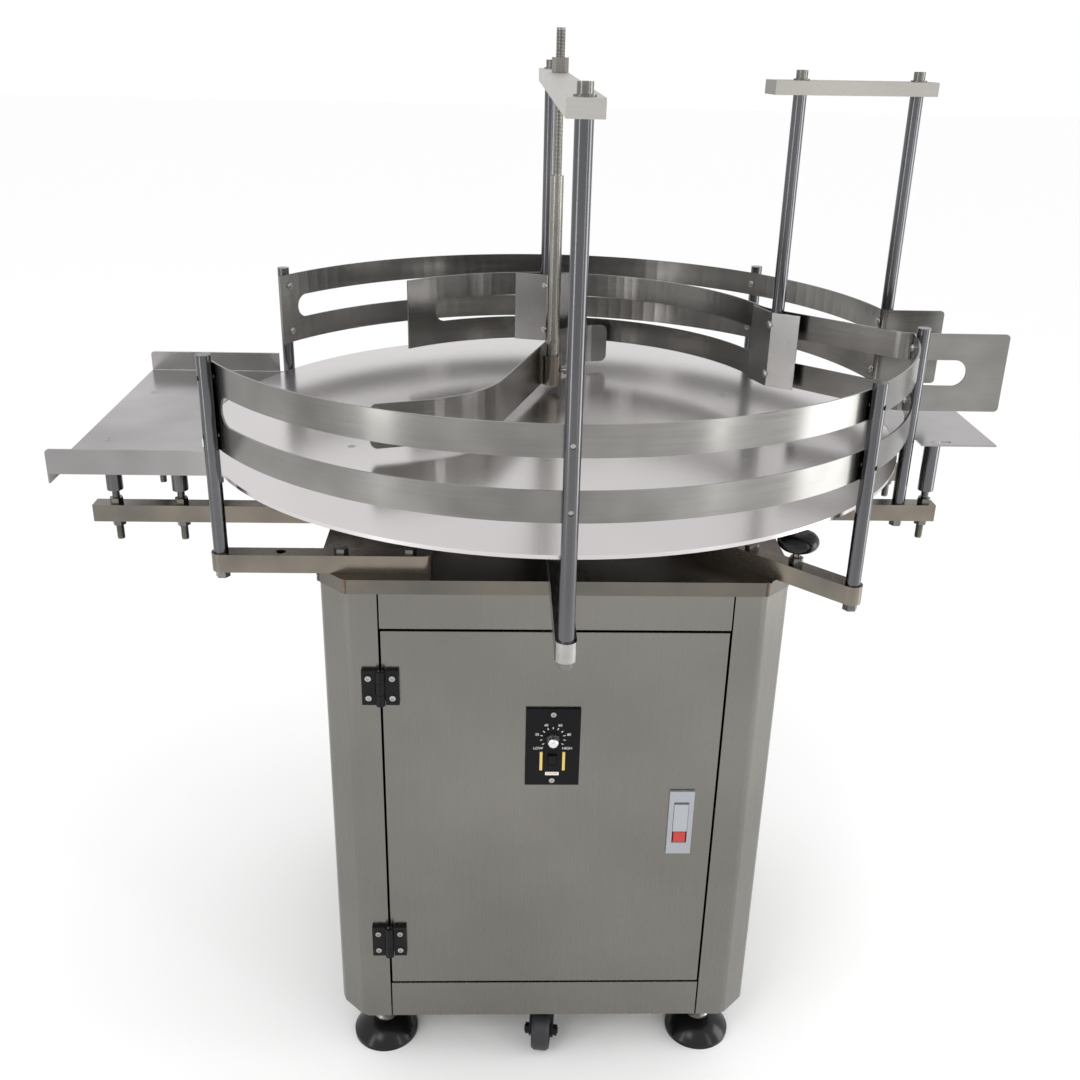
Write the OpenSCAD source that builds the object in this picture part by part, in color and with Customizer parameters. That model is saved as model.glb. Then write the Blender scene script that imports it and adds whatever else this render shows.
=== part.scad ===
// Rotary accumulation table: a turning steel disc inside slotted guide rails, on a sheet-metal drive cabinet.
// The frame has +Z up, +X to the outfeed and -Y to the door. The origin is on the floor under the disc axis.

/* [Turntable] */
// Radius of the turntable disc
disc_r = 400; // [360:5:450]
// Thickness of the disc plate
disc_t = 4; // [2:0.5:6]
// Height of the disc top above the arm tops
disc_rise = 76; // [70:1:110]
// Outer radius of the spider that carries the disc
spider_r = 285; // [200:5:320]
// Thickness of the spider arms
spider_t = 12; // [8:1:16]
// Width of the spider arms
spider_arm_w = 40; // [25:1:60]
// Diameter of the turntable shaft
shaft_d = 30; // [24:1:36]

/* [Guide rails] */
// Height of each guide rail
rail_h = 90; // [75:1:120]
// Height of the upper and lower band of a rail
band_h = 30; // [20:1:34]
// Sheet thickness of the rails
rail_t = 2; // [1:0.5:3]
// Height of the rails above the disc
rail_gap = 34; // [20:1:60]
// Radial distance from the disc rim to the outer rails
rail_clear = 6; // [4:1:15]
// Inner radius of the lane rail
lane_r = 265; // [240:1:290]
// Angle at which the free end of the lane rail stands
lane_end_angle = 133.5; // [110:0.5:140]
// Angle at which the lane rail leaves its circle
lane_turn_angle = 17; // [12:0.5:22]
// Slope of the straight stretch of the lane rail
lane_slope = 42; // [35:1:50]
// Distance from the axis to the slotted end of the lane rail
lane_exit = 512; // [490:1:560]
// Distance from the axis to the plain end of the back rail
back_exit = 478; // [450:1:520]
// Radius of the corners at the exit ends of the rails
rail_corner = 5; // [2:1:12]
// Length of the closed stretch at a rail end
end_band = 44; // [30:1:60]

/* [Posts and arms] */
// Diameter of the posts
post_d = 15; // [14:1:20]
// Height of the short posts above the rails
post_over = 8; // [4:1:20]
// Side of the square arms
arm_size = 20; // [18:1:26]
// Angle of the two left posts
left_angle = 147; // [140:0.5:150]
// Angle of the two diagonal posts
diagonal_angle = 45; // [35:1:60]
// Half distance between the two exit posts
exit_half = 68; // [60:1:80]
// Distance from the axis to the inner ends of the arms
arm_inner = 140; // [125:1:170]
// Distance from the axis to the infeed arm ends
infeed_arm_end = 520; // [505:1:560]
// Offset of the infeed arms from the middle
infeed_arm_y = 92; // [80:1:110]
// Distance from the axis to the exit arm ends
exit_arm_end = 452; // [450:1:500]
// Distance from the axis to the rest pads
pad_at = 349; // [335:1:370]

/* [Bridges] */
// Width of the bridge bars
bar_w = 30; // [24:1:40]
// Thickness of the bridge bars
bar_t = 15; // [10:1:20]
// Height of the bridge bars above the rails
bridge_rise = 243; // [200:1:320]
// Overhang of the bars past their posts
bar_over = 18; // [14:1:40]
// Overhang of the lane bar past its hanging post
lane_bar_over = 36; // [18:1:50]

/* [Diverter] */
// Height of the diverter band
guide_h = 50; // [35:1:70]
// Sheet thickness of the diverter band
guide_t = 2; // [1:0.5:3]
// Gap between the diverter and the disc
guide_clear = 10; // [4:1:25]
// Direction of the straight stretch of the diverter
guide_heading = 73; // [68:1:76]
// Length of the straight stretch in front of the collar
guide_front = 173; // [150:1:180]
// Length of the straight stretch behind the collar
guide_back = 66; // [50:1:70]
// Radius of the front bend
guide_front_r = 130; // [80:1:140]
// Angle of the front bend
guide_front_turn = 55; // [35:1:65]
// Length of the front end past its bend
guide_tail = 60; // [40:1:70]
// Radius of the rear bend
guide_back_r = 70; // [50:1:75]
// Angle of the rear bend
guide_back_turn = 65; // [40:1:75]
// Length of the rear end past its bend
guide_tip = 15; // [12:1:20]
// Radius of the corners at the diverter ends
guide_corner = 9; // [4:1:11]
// Distance of the diverter rod behind the axis
rod_y = 118; // [100:1:125]
// Distance of the diverter rod beside the axis
rod_x = 5; // [0:0.5:8]
// Diameter of the diverter rod
rod_d = 10; // [8:1:12]
// Diameter of the sleeve on the rod
sleeve_d = 16; // [14:1:20]
// Diameter of the collar
collar_d = 24; // [22:1:30]
// Height of the collar
collar_h = 38; // [28:1:45]
// Length of the rod that stands above the bar
rod_over = 48; // [30:1:90]
// Clear distance between the sleeve and the bar
sleeve_drop = 100; // [90:1:130]

/* [Transfer plates] */
// Distance from the axis to the infeed plate end
infeed_end = 525; // [515:1:580]
// Half width of the infeed plate
infeed_half = 200; // [170:1:210]
// Height of the infeed side walls
wall_h = 25; // [15:1:32]
// Radius of the corners at the infeed wall ends
wall_corner = 5; // [2:1:10]
// Depth of the lip at the infeed end
lip_h = 10; // [5:1:25]
// Distance from the axis to the outfeed plate end
outfeed_end = 511; // [480:1:560]
// Half width of the outfeed plate
outfeed_half = 78; // [76:1:100]
// Thickness of the transfer plates
plate_t = 2; // [1:0.5:3]
// Gap between the transfer plates and the disc rim
plate_gap = 3; // [2:0.5:8]
// Distance from the axis to the outer infeed standoffs
infeed_rod_far = 495; // [480:1:500]
// Distance from the axis to the inner infeed standoffs
infeed_rod_near = 422; // [420:1:440]
// Distance from the axis to the outfeed standoffs
outfeed_rod = 440; // [438:1:441]
// Diameter of the standoff sleeves
standoff_d = 18; // [14:1:20]

/* [Cabinet] */
// Width and depth of the cabinet
cabinet_w = 500; // [470:5:540]
// Height of the cabinet shell
cabinet_h = 590; // [540:5:700]
// Sheet thickness of the cabinet
sheet = 2; // [1.5:0.5:3]
// Size of the cut corners
corner_cut = 30; // [20:1:45]
// Depth of the lip round the top cap
cap_lip = 14; // [8:1:30]
// Width of the columns beside the door
column_w = 62.5; // [58:0.5:80]
// Height of the upper front panel
upper_panel_h = 55.5; // [40:0.5:80]
// Height of the lower front panel
lower_panel_h = 51.5; // [40:0.5:80]

/* [Door and fittings] */
// Gap round the door
door_gap = 2.5; // [2:0.5:4]
// Depth of the door pan
door_depth = 18; // [14:1:25]
// Sheet thickness of the door
door_sheet = 1.5; // [1:0.5:2]
// Height of a hinge
hinge_h = 42; // [36:3:60]
// Width of a hinge leaf
hinge_leaf_w = 20; // [16:1:28]
// Thickness of a hinge leaf
hinge_t = 5; // [4:0.5:6]
// Distance of the hinges from the door ends
hinge_inset = 66; // [40:1:110]
// Width of the controller plate
control_w = 60; // [56:1:80]
// Height of the controller plate
control_h = 98; // [92:1:120]
// Distance of the controller below the door top
control_drop = 141.5; // [90:0.5:180]
// Depth of the controller housing
control_depth = 58; // [40:1:80]
// Diameter of the speed knob
knob_d = 14; // [12:1:18]
// Width of the latch plate
latch_w = 28; // [26:1:36]
// Height of the latch plate
latch_h = 85; // [80:1:100]
// Distance of the latch from the door edge
latch_inset = 37; // [30:1:60]
// Height of the latch above the door bottom
latch_rise = 235.5; // [150:0.5:300]

/* [Feet and casters] */
// Clear height under the cabinet
foot_height = 70; // [68:1:90]
// Radius of a foot
foot_r = 40; // [30:1:48]
// Distance of the feet from the cabinet sides
foot_inset = 50; // [46:1:65]
// Radius of a caster wheel
wheel_r = 25; // [22:1:26]
// Width of a caster wheel
wheel_w = 22; // [18:1:26]
// Trail of a caster
trail = 20; // [14:1:24]
// Distance of the casters from the cabinet sides
caster_inset = 38; // [36:1:60]
// Gap between the caster wheels and the floor
wheel_gap = 3; // [2:0.5:6]

/* [Drive] */
// Side of the gearmotor
motor_w = 90; // [70:1:104]
// Length of the motor
motor_h = 130; // [90:1:170]
// Length of the gearhead
gearhead_h = 60; // [40:1:80]
// Distance of the hanger plate below the cap
hanger_drop = 129; // [125:1:150]
// Diameter of the gearhead shaft
output_d = 18; // [12:1:20]

/* [Hidden] */
$fn = 96;

// Fits: running is a shaft in its bore, seat is a rail against its post, clear is a gap between moving pieces
running = 0.05;
seat = 0.05;
clear = 0.4;
// A slot is eased beside its round ends, a rounded corner at its ends;
// a bend has one point for so many degrees
slot_ease = 0.05;
corner_ease = 1.02;
arc_step = 2.5;
bend_step = 5;

// Heights from the floor up
half = cabinet_w / 2;
foot_at = half - foot_inset;
caster_at = half - caster_inset;
base_z = foot_height;
shell_top = base_z + cabinet_h;
cap_top = shell_top + sheet;
arm_top = cap_top + arm_size;
disc_top = arm_top + disc_rise;
disc_under = disc_top - disc_t;
rail_z = disc_top + rail_gap;
rail_top = rail_z + rail_h;
post_top = rail_top + post_over;
bar_z = rail_top + bridge_rise;
bar_top = bar_z + bar_t;
screw_heights = [rail_z + band_h / 2, rail_top - band_h / 2];

// Radii of the outer rails and the posts behind them
rail_r = disc_r + rail_clear;
rail_mid = rail_r + rail_t / 2;
post_r = rail_r + rail_t + seat + post_d / 2;
exit_angle = asin(exit_half / post_r);
slot_r = (rail_h - 2 * band_h) / 2;
slot_z = rail_z + band_h + slot_r;
rail_over = 2.5;
wrap_r = post_d / 2 + seat + rail_t / 2;
slot_low = slot_z - slot_r + slot_ease;
slot_high = slot_z + slot_r - slot_ease;

// Places of the standing posts
front_post = polar(post_r, -90);
left_posts = [polar(post_r, -left_angle), polar(post_r, left_angle)];
diagonal_posts = [polar(post_r, -diagonal_angle), polar(post_r, diagonal_angle)];
exit_posts = [polar(post_r, -exit_angle), polar(post_r, exit_angle)];
short_post_angles = [-left_angle, left_angle, -diagonal_angle, diagonal_angle, -exit_angle];

// Centre line of the lane rail: circle, bend round the hanging post, straight, bend and exit straight
lane_mid = lane_r + rail_t / 2;
lane_bend_r = 60;
lane_exit_bend_r = 30;
lane_y = -(exit_half - post_d / 2 - rail_t / 2 - seat);
lane_bend_centre = polar(lane_mid + lane_bend_r, lane_turn_angle);
lane_bend_start = lane_turn_angle + 180;
lane_bend_end = 270 - lane_slope;
lane_bend_exit = lane_bend_centre + polar(lane_bend_r, lane_bend_end);
lane_exit_y = lane_y + lane_exit_bend_r;
lane_straight = (lane_bend_exit[1] - lane_exit_y - lane_exit_bend_r * sin(lane_bend_end)) / sin(lane_slope);
lane_straight_end = lane_bend_exit + polar(lane_straight, -lane_slope);
lane_exit_centre = lane_straight_end - polar(lane_exit_bend_r, lane_bend_end);
lane_slot_angle = lane_end_angle - (end_band + slot_r) / lane_mid * 180 / PI;
lane_slot_end = lane_exit - end_band - slot_r;

// Places of the two hanging posts, inside the lane rail
hang_gap = post_d / 2 + seat;
bridge_post = [0, lane_r - hang_gap];
lane_post_step = 5;
lane_post = lane_bend_exit + polar(lane_post_step, -lane_slope)
    + polar(rail_t / 2 + hang_gap, -90 - lane_slope);

// Bent guards in front of the hanging posts: [post, direction in which the guard opens]
guard_t = 1.5;
guard_long = 43;
guard_short = 34;
guard_half = 72;
guard_gap = 0.2;
guard_places = [[bridge_post, 93.5], [lane_post, 38]];

// Arms: [outer end, direction inwards, length, round end, post holes, rod holes, cap bolts, tapped hole]
bolt_inset = 25;
bolt_end = 14;
bolt_hole = 4.2;
tapped_hole = 5;
spare_hole_at = 287;
left_x = -left_posts[0][0];
diagonal_len = post_r - arm_inner * sqrt(2);
corner_r = (half * 2 - corner_cut) / sqrt(2);
exit_x = exit_posts[0][0];
front_arm_list = [[front_post, 90, post_r - arm_inner, true, [0], [],
    [post_r - half + bolt_inset, post_r - arm_inner - bolt_end], []]];
left_arm_list = [for (p = left_posts) [p, 0, left_x - arm_inner, true, [0], [],
    [left_x - half + bolt_inset, left_x - arm_inner - bolt_end], [left_x - spare_hole_at]]];
infeed_arm_list = [for (s = [-1, 1]) [[-infeed_arm_end, s * infeed_arm_y], 0, infeed_arm_end - arm_inner,
    false, [], [infeed_arm_end - infeed_rod_far, infeed_arm_end - infeed_rod_near],
    [infeed_arm_end - half + bolt_inset, infeed_arm_end - arm_inner - bolt_end], []]];
diagonal_arm_list = [for (i = [0, 1]) [diagonal_posts[i], 180 + [-1, 1][i] * diagonal_angle, diagonal_len,
    true, [0], [post_r - pad_at], [post_r - corner_r + 1.5 * bolt_inset, diagonal_len - bolt_end], []]];
exit_arm_list = [for (s = [-1, 1]) [[exit_arm_end, s * exit_half], 180, exit_arm_end - arm_inner, false,
    [exit_arm_end - exit_x], [exit_arm_end - outfeed_rod],
    [exit_arm_end - half + bolt_inset, exit_arm_end - arm_inner - bolt_end], []]];
all_arms = concat(front_arm_list, left_arm_list, infeed_arm_list, diagonal_arm_list, exit_arm_list);
cap_bolts = [for (a = all_arms) for (x = a[6]) a[0] + polar(x, a[1])];
post_bolt_r = 4;
bolt_head_h = 8;
bolt_head_r = 7.5;
cap_head_h = 5.5;
post_tap = 22;
screw_core = 1.8;
screw_seat = 0.15;

// Rest pads on the diagonal arms
pad_r = 21.5;
pad_h = 20;
pad_foot_r = 9;
pad_lift = 16;
pad_z = arm_top + pad_lift;
pad_places = [for (a = diagonal_arm_list) a[0] + polar(a[5][0], a[1])];

// Standoffs under the transfer plates
plate_top = disc_top - 1;
plate_under = plate_top - plate_t;
standoffs = concat([for (s = [-1, 1]) for (x = [infeed_rod_far, infeed_rod_near]) [-x, s * infeed_arm_y]],
    [for (s = [-1, 1]) [outfeed_rod, s * exit_half]]);
standoff_rod_r = 4;
standoff_nut_h = 6.5;
standoff_nut_r = 7.5;
standoff_lift = 16;
standoff_tail = 24;
plate_screw_r = 2.5;

// Cabinet, door and hinge places
front_y = -half;
opening_half = half - column_w;
door_half = opening_half - door_gap;
door_bottom = base_z + lower_panel_h + door_gap;
door_top = shell_top - upper_panel_h - door_gap;
column_return = 20;
panel_return = 12;
panel_gap = 1.5;
plate_seat = 0.3;
hinge_pin_r = 2.5;
knuckle_r = hinge_t;
hinge_x = -(door_half + door_gap / 2);
hinge_y = front_y - knuckle_r - 0.2;
hinge_heights = [door_bottom + hinge_inset, door_top - hinge_inset];
knuckle_h = hinge_h / 3;
cap_hole_r = shaft_d / 2 + 8;

// Controller and latch places
control_z = door_top - control_drop;
control_plate_t = 3;
control_margin = 3;
knob_rise = 12;
knob_z = control_z + knob_rise;
knob_shaft_r = 3;
knob_depth = 13;
knob_len = 12;
switch_z = control_z - 15.5;
switch_w = 9;
switch_h = 13;
switch_t = 5;
switch_y = front_y - control_plate_t + 1;
switch_pin_r = 1;
switch_tilt = 12;
latch_x = door_half - latch_inset;
latch_z = door_bottom + latch_rise;
latch_plate_t = 3;
latch_box_w = 22;
latch_box_h = 76;
latch_back = front_y + door_depth;
pocket_w = 17;
pocket_low = 27.2;
pocket_high = 28.2;
pocket_depth = 12;
paddle_low = 11.2;
paddle_axis = 24;
paddle_over = 1.5;
paddle_t = 4;
paddle_y = front_y - 0.5;
paddle_front = front_y - latch_plate_t - 0.6;
paddle_pin_r = 1.5;
paddle_pin_len = pocket_w + 4;
button_high = 12;
button_low = 26.4;
tongue_h = 10;
tongue_t = 4;
tongue_len = 45;
tongue_reach = 0.6;
keeper_w = 5;

// Caster stack, from the bottom plate down to the floor
caster_plate_t = 4;
king_pin_r = 5;
king_head_r = 8;
king_head_h = 3;
crown_r = 22;
crown_h = 7.6;
crown_top = base_z - caster_plate_t - clear;
crown_low = crown_top - crown_h;
axle_r = 4;
axle_z = wheel_r + wheel_gap;
cheek_t = 3;
cheek_gap = 1;
cheek_back = 13;
cheek_front = 15;
cheek_ear = 9.5;
cheek_foot = 8;
axle_over = 6;
axle_nut_r = 7;
axle_nut_h = 5;
hub_gap = 0.3;
hub_face_r = 8;
web_inset = 2;
rim_t = 7;
rim_edge = 1;
tread_drop = 2.5;
tread_side = 4;
caster_plate_w = 60;
// Each caster: its place and the direction in which its wheel trails
caster_front = [[0, -caster_at], -97];
caster_rear = [[0, caster_at], 80];
caster_left = [[-caster_at, 0], 196];
caster_right = [[caster_at, 0], -20];
casters = [caster_front, caster_rear, caster_left, caster_right];

// Feet
foot_places = [for (x = [-1, 1]) for (y = [-1, 1]) [x * foot_at, y * foot_at]];
foot_rim = 5;
foot_dome = 27;
foot_sphere = (foot_r * foot_r + (foot_dome - foot_rim) * (foot_dome - foot_rim)) / 2
    / (foot_dome - foot_rim);
foot_stud_r = 6;
foot_nut_h = 10;
foot_nut_r = 11;
foot_stud_over = 22;

// Drive stack, from the disc down
bearing_base = 60;
bearing_base_h = 14;
bearing_boss_r = 45;
bearing_h = 42;
bearing_ring_r = 31;
bearing_ring_h = 34;
bearing_top = cap_top + bearing_h;
hub_r = 36;
hub_flange_r = 72;
hub_flange_t = spider_t + 3;
hub_z = bearing_top + 6;
spider_arms = 6;
spider_offset = 26;
spider_lap = 4;
hanger_z = shell_top - hanger_drop;
hanger_t = 6;
hanger_half = 90;
hanger_rod_r = 6;
hanger_rod_at = 75;
gearhead_boss_r = 18;
gearhead_boss_h = 5;
coupling_r = 25;
coupling_half = 30;
coupling_z = hanger_z + 50;
output_depth = 30;
nut_fit = 0.02;

// Diverter
collar_z = disc_top + guide_clear;
guide_off = collar_d / 2 + guide_t / 2 + 0.5;
rod_place = [rod_x, rod_y];
guide_front_centre = [-guide_front, guide_off + guide_front_r];
guide_back_centre = [guide_back, guide_off - guide_back_r];
guide_front_end = guide_front_centre + polar(guide_front_r, -90 - guide_front_turn)
    + polar(guide_tail, 180 - guide_front_turn);
guide_back_end = guide_back_centre + polar(guide_back_r, 90 - guide_back_turn)
    + polar(guide_tip, -guide_back_turn);
sleeve_top = bar_z - sleeve_drop;
rod_in_sleeve = 20;
lock_nut_h = 8;
lock_nut_r = 9.8;
stop_gap = 0.3;

// A point at a distance and an angle from the axis
function polar(r, a) = [r * cos(a), r * sin(a)];

// Corners of a square with cut corners
function cut_square(w, c) = [[w - c, -w], [w, c - w], [w, w - c], [w - c, w], [c - w, w], [-w, w - c],
    [-w, c - w], [c - w, -w]];

// Points along an arc, with the first one left out where another stretch ends there
function arc_points(centre, r, from, to, step, first = 0) =
    let (n = ceil(abs(to - from) / step))
    [for (i = [first : n]) centre + polar(r, from + (to - from) * i / n)];

// A list back to front
function reversed(list) = [for (i = [len(list) - 1 : -1 : 0]) list[i]];

// One side of the lane rail, at an offset from its centre line
function lane_side(offset, from, end_x) = concat(
    arc_points([0, 0], lane_mid + offset, from, lane_turn_angle, arc_step),
    arc_points(lane_bend_centre, lane_bend_r - offset, lane_bend_start, lane_bend_end, bend_step, 1),
    arc_points(lane_exit_centre, lane_exit_bend_r - offset, lane_bend_end, 270, bend_step),
    [[end_x, lane_y + offset]]);

// One side of the back rail, at an offset from its centre line
function back_side(offset) = concat(
    arc_points([0, 0], rail_mid + offset, left_angle + rail_over, exit_angle, arc_step),
    arc_points(exit_posts[1], wrap_r - offset, 180 + exit_angle, 270, bend_step, 1),
    [[back_exit, exit_posts[1][1] - wrap_r + offset]]);

// One side of the diverter band, at an offset from its centre line, in the frame of the collar
function guide_side(offset) = concat(
    [guide_front_end + polar(offset, 90 - guide_front_turn)],
    arc_points(guide_front_centre, guide_front_r - offset, -90 - guide_front_turn, -90, bend_step),
    arc_points(guide_back_centre, guide_back_r + offset, 90, 90 - guide_back_turn, bend_step),
    [guide_back_end + polar(offset, 90 - guide_back_turn)]);

// Upright strip between two sides
module strip(left, right, z, h) {
    translate([0, 0, z])
        linear_extrude(h)
            polygon(concat(left, reversed(right)));
}

// Upright strip along an arc about the axis
module arc_strip(r, from, to, t, z, h) {
    translate([0, 0, z])
        rotate([0, 0, from])
            rotate_extrude(angle = to - from, $fn = 240)
                translate([r - t / 2, 0])
                    square([t, h]);
}

// Cuts that round the corners of an upright sheet at an end with a heading, both corners or one alone
module end_corners(place, heading, r, heights, t) {
    reach = 0.9 * r;
    for (i = [0 : len(heights) - 1])
        translate([place[0], place[1], heights[i]])
            rotate([0, 0, heading])
                mirror([0, 0, len(heights) - 1 > i ? 0 : 1])
                    difference() {
                        translate([-reach, -2 * t, -1])
                            cube([reach + 1, 4 * t, reach + 1]);
                        translate([-r, 0, r])
                            rotate([90, 0, 0])
                                cylinder(r = corner_ease * r, h = 6 * t, center = true);
                    }
}

// Round hole or pin that lies flat, through a point in a direction
module flat_round(place, heading, from, to, z, r) {
    translate([place[0], place[1], z])
        rotate([0, 0, heading])
            translate([from, 0, 0])
                rotate([0, 90, 0])
                    cylinder(r = r, h = to - from);
}

// Upright round at a place
module round_at(place, z, r, h) {
    translate([place[0], place[1], z])
        cylinder(r = r, h = h);
}

// Hexagon nut with a round hole
module nut_at(place, z, r, h, hole) {
    translate([place[0], place[1], z])
        difference() {
            cylinder(r = r, h = h, $fn = 6);
            translate([0, 0, -1])
                cylinder(r = hole, h = h + 2);
        }
}

// Sheet shell of the cabinet: walls, columns and the returns beside the door
module cabinet_shell() {
    color("#8a867e") {
        translate([0, 0, base_z])
            difference() {
                union() {
                    difference() {
                        linear_extrude(cabinet_h)
                            polygon(cut_square(half, corner_cut));
                        translate([0, 0, -1])
                            linear_extrude(cabinet_h + 2)
                                polygon(cut_square(half - sheet, corner_cut - sheet * (2 - sqrt(2))));
                    }
                    translate([-opening_half - sheet, front_y + sheet / 2, 0])
                        cube([2 * (opening_half + sheet), sheet / 2 + column_return, cabinet_h]);
                }
                translate([-opening_half, front_y - 1, -1])
                    cube([2 * opening_half, sheet + column_return + 2, cabinet_h + 2]);
            }
    }
}

// Top cap with a lip over the shell and holes for the shaft and the arm bolts
module top_cap() {
    color("#8d8981")
        difference() {
            translate([0, 0, shell_top - cap_lip])
                linear_extrude(cap_lip + sheet)
                    polygon(cut_square(half + sheet, corner_cut + sheet * (2 - sqrt(2))));
            translate([0, 0, shell_top - cap_lip - 1])
                linear_extrude(cap_lip + 1)
                    polygon(cut_square(half, corner_cut));
            round_at([0, 0], shell_top - 1, cap_hole_r, sheet + 2);
            for (p = cap_bolts)
                round_at(p, shell_top - 1, bolt_hole, sheet + 2);
        }
}

// Bottom plate with holes for the foot studs
module bottom_plate() {
    color("#85817a")
        difference() {
            translate([0, 0, base_z])
                linear_extrude(sheet)
                    difference() {
                        polygon(cut_square(half - sheet, corner_cut - sheet * (2 - sqrt(2))));
                        for (s = [-1, 1])
                            translate([s * (opening_half + sheet / 2), front_y + sheet + column_return / 2])
                                square([sheet, column_return + 0.02], center = true);
                        translate([-opening_half, front_y])
                            square([2 * opening_half, panel_return + plate_seat]);
                    }
            for (p = foot_places)
                round_at(p, base_z - 1, foot_stud_r + 0.25, sheet + 2);
        }
}

// One fixed front panel: a face with folded edges at its top and bottom
module front_panel(z, h) {
    panel_half = opening_half - panel_gap;
    translate([-panel_half, front_y, z])
        difference() {
            cube([2 * panel_half, panel_return, h]);
            translate([-1, sheet, sheet])
                cube([2 * panel_half + 2, panel_return, h - 2 * sheet]);
        }
}

// Fixed panels above and below the door
module front_panels() {
    color("#8c8880") {
        front_panel(base_z, lower_panel_h);
        front_panel(shell_top - upper_panel_h, upper_panel_h);
    }
}

// Door pan with folded edges and the openings for controller and latch
module door_panel() {
    door_h = door_top - door_bottom;
    control_cut = [control_w - 2 * (control_margin - clear), door_sheet + 2,
        control_h - 2 * (control_margin - clear)];
    latch_cut = [latch_box_w + 2 * clear, door_sheet + 2, latch_box_h + 2 * clear];
    color("#8f8b83")
        difference() {
            translate([-door_half, front_y, door_bottom])
                cube([2 * door_half, door_depth, door_h]);
            translate([-door_half + door_sheet, front_y + door_sheet, door_bottom + door_sheet])
                cube([2 * (door_half - door_sheet), door_depth, door_h - 2 * door_sheet]);
            translate([-control_cut[0] / 2, front_y - 1, control_z - control_cut[2] / 2])
                cube(control_cut);
            translate([latch_x - latch_cut[0] / 2, front_y - 1, latch_z - latch_cut[2] / 2])
                cube(latch_cut);
        }
}

// One hinge leaf with its own knuckles, side -1 on the column and 1 on the door
module hinge_leaf(z, side, knuckles, bore) {
    web = knuckle_r + clear;
    translate([hinge_x, hinge_y, z - hinge_h / 2])
        difference() {
            union() {
                translate([side > 0 ? web : -hinge_leaf_w, front_y - hinge_t - hinge_y, 0])
                    cube([hinge_leaf_w - web, hinge_t, hinge_h]);
                for (k = knuckles) {
                    low = k * knuckle_h + (k > 0 ? clear / 2 : 0);
                    high = (k + 1) * knuckle_h - (k < 2 ? clear / 2 : 0);
                    translate([0, 0, low])
                        cylinder(r = knuckle_r, h = high - low);
                    translate([side > 0 ? 0 : -web - 1, front_y - hinge_t - hinge_y, low])
                        cube([web + 1, hinge_t, high - low]);
                }
            }
            translate([0, 0, -1])
                cylinder(r = bore, h = hinge_h + 2);
        }
}

// Hinge leaves on the column
module hinge_leaves_fixed() {
    color("#1b1b1c")
        for (z = hinge_heights)
            hinge_leaf(z, -1, [0, 2], hinge_pin_r + nut_fit);
}

// Hinge leaves on the door
module hinge_leaves_door() {
    color("#1b1b1c")
        for (z = hinge_heights)
            hinge_leaf(z, 1, [1], hinge_pin_r + running);
}

// Hinge pins
module hinge_pins() {
    color("#77787a")
        for (z = hinge_heights)
            round_at([hinge_x, hinge_y], z - hinge_h / 2, hinge_pin_r, hinge_h);
}

// Speed controller: face plate and housing behind the door, with the bores for knob and switch
module speed_controller() {
    color("#161617")
        difference() {
            union() {
                translate([-control_w / 2, front_y - control_plate_t, control_z - control_h / 2])
                    cube([control_w, control_plate_t, control_h]);
                translate([-control_w / 2 + control_margin, front_y,
                    control_z - control_h / 2 + control_margin])
                    cube([control_w - 2 * control_margin, control_depth, control_h - 2 * control_margin]);
            }
            flat_round([0, front_y], 90, -control_plate_t - 1, knob_depth, knob_z, knob_shaft_r + running);
            translate([-switch_w / 2 - clear, front_y - control_plate_t - 1, switch_z - switch_h / 2 - 1])
                cube([switch_w + 2 * clear, control_plate_t + 1 + switch_h / 2, switch_h + 2]);
            flat_round([0, switch_y], 0, -switch_w / 2 - 1.5, switch_w / 2 + 1.5, switch_z,
                switch_pin_r + running);
        }
}

// Speed knob with its shaft and pointer groove
module speed_knob() {
    knob_back = front_y - control_plate_t - clear;
    color("#c9cacb")
        difference() {
            union() {
                translate([0, knob_back, knob_z])
                    rotate([90, 0, 0])
                        rotate_extrude()
                            polygon([[0, 0], [knob_d / 2, 0], [knob_d / 2, 4],
                                [knob_d / 2 - 1.5, knob_len - 1], [knob_d / 2 - 2.5, knob_len],
                                [0, knob_len]]);
                flat_round([0, front_y], 90, -control_plate_t - clear - 1, knob_depth - 1, knob_z,
                    knob_shaft_r);
            }
            translate([-0.6, knob_back - knob_len - 1, knob_z + 1])
                cube([1.2, 1.8, knob_d / 2 - 3]);
        }
}

// Run switch: a rocker on its own pins, stored at its stop side
module run_switch() {
    color("#2a2a2c") {
        translate([0, switch_y, switch_z])
            rotate([switch_tilt, 0, 0])
                cube([switch_w, switch_t, switch_h], center = true);
        flat_round([0, switch_y], 0, -switch_w / 2 - 1, switch_w / 2 + 1, switch_z, switch_pin_r);
    }
}

// Flush latch housing with the pocket for paddle and button, and the keeper for the tongue
module latch_housing() {
    keeper_y = latch_back + clear + tongue_t + clear;
    color("#9a9c9f")
        translate([latch_x, 0, latch_z])
            difference() {
                union() {
                    translate([-latch_w / 2, front_y - latch_plate_t, -latch_h / 2])
                        cube([latch_w, latch_plate_t, latch_h]);
                    translate([-latch_box_w / 2, front_y, -latch_box_h / 2])
                        cube([latch_box_w, door_depth, latch_box_h]);
                    translate([-keeper_w / 2, latch_back - 1, -tongue_h / 2 - clear - 3])
                        cube([keeper_w, keeper_y - latch_back + 3, tongue_h + 2 * clear + 6]);
                }
                translate([-pocket_w / 2, front_y - latch_plate_t - 1, -pocket_low])
                    cube([pocket_w, pocket_depth + 1, pocket_low + pocket_high]);
                flat_round([0, paddle_y], 0, -paddle_pin_len / 2 - 0.5, paddle_pin_len / 2 + 0.5, paddle_axis,
                    paddle_pin_r + running);
                translate([-keeper_w, latch_back, -tongue_h / 2 - clear])
                    cube([2 * keeper_w, keeper_y - latch_back, tongue_h + 2 * clear]);
            }
}

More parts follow.
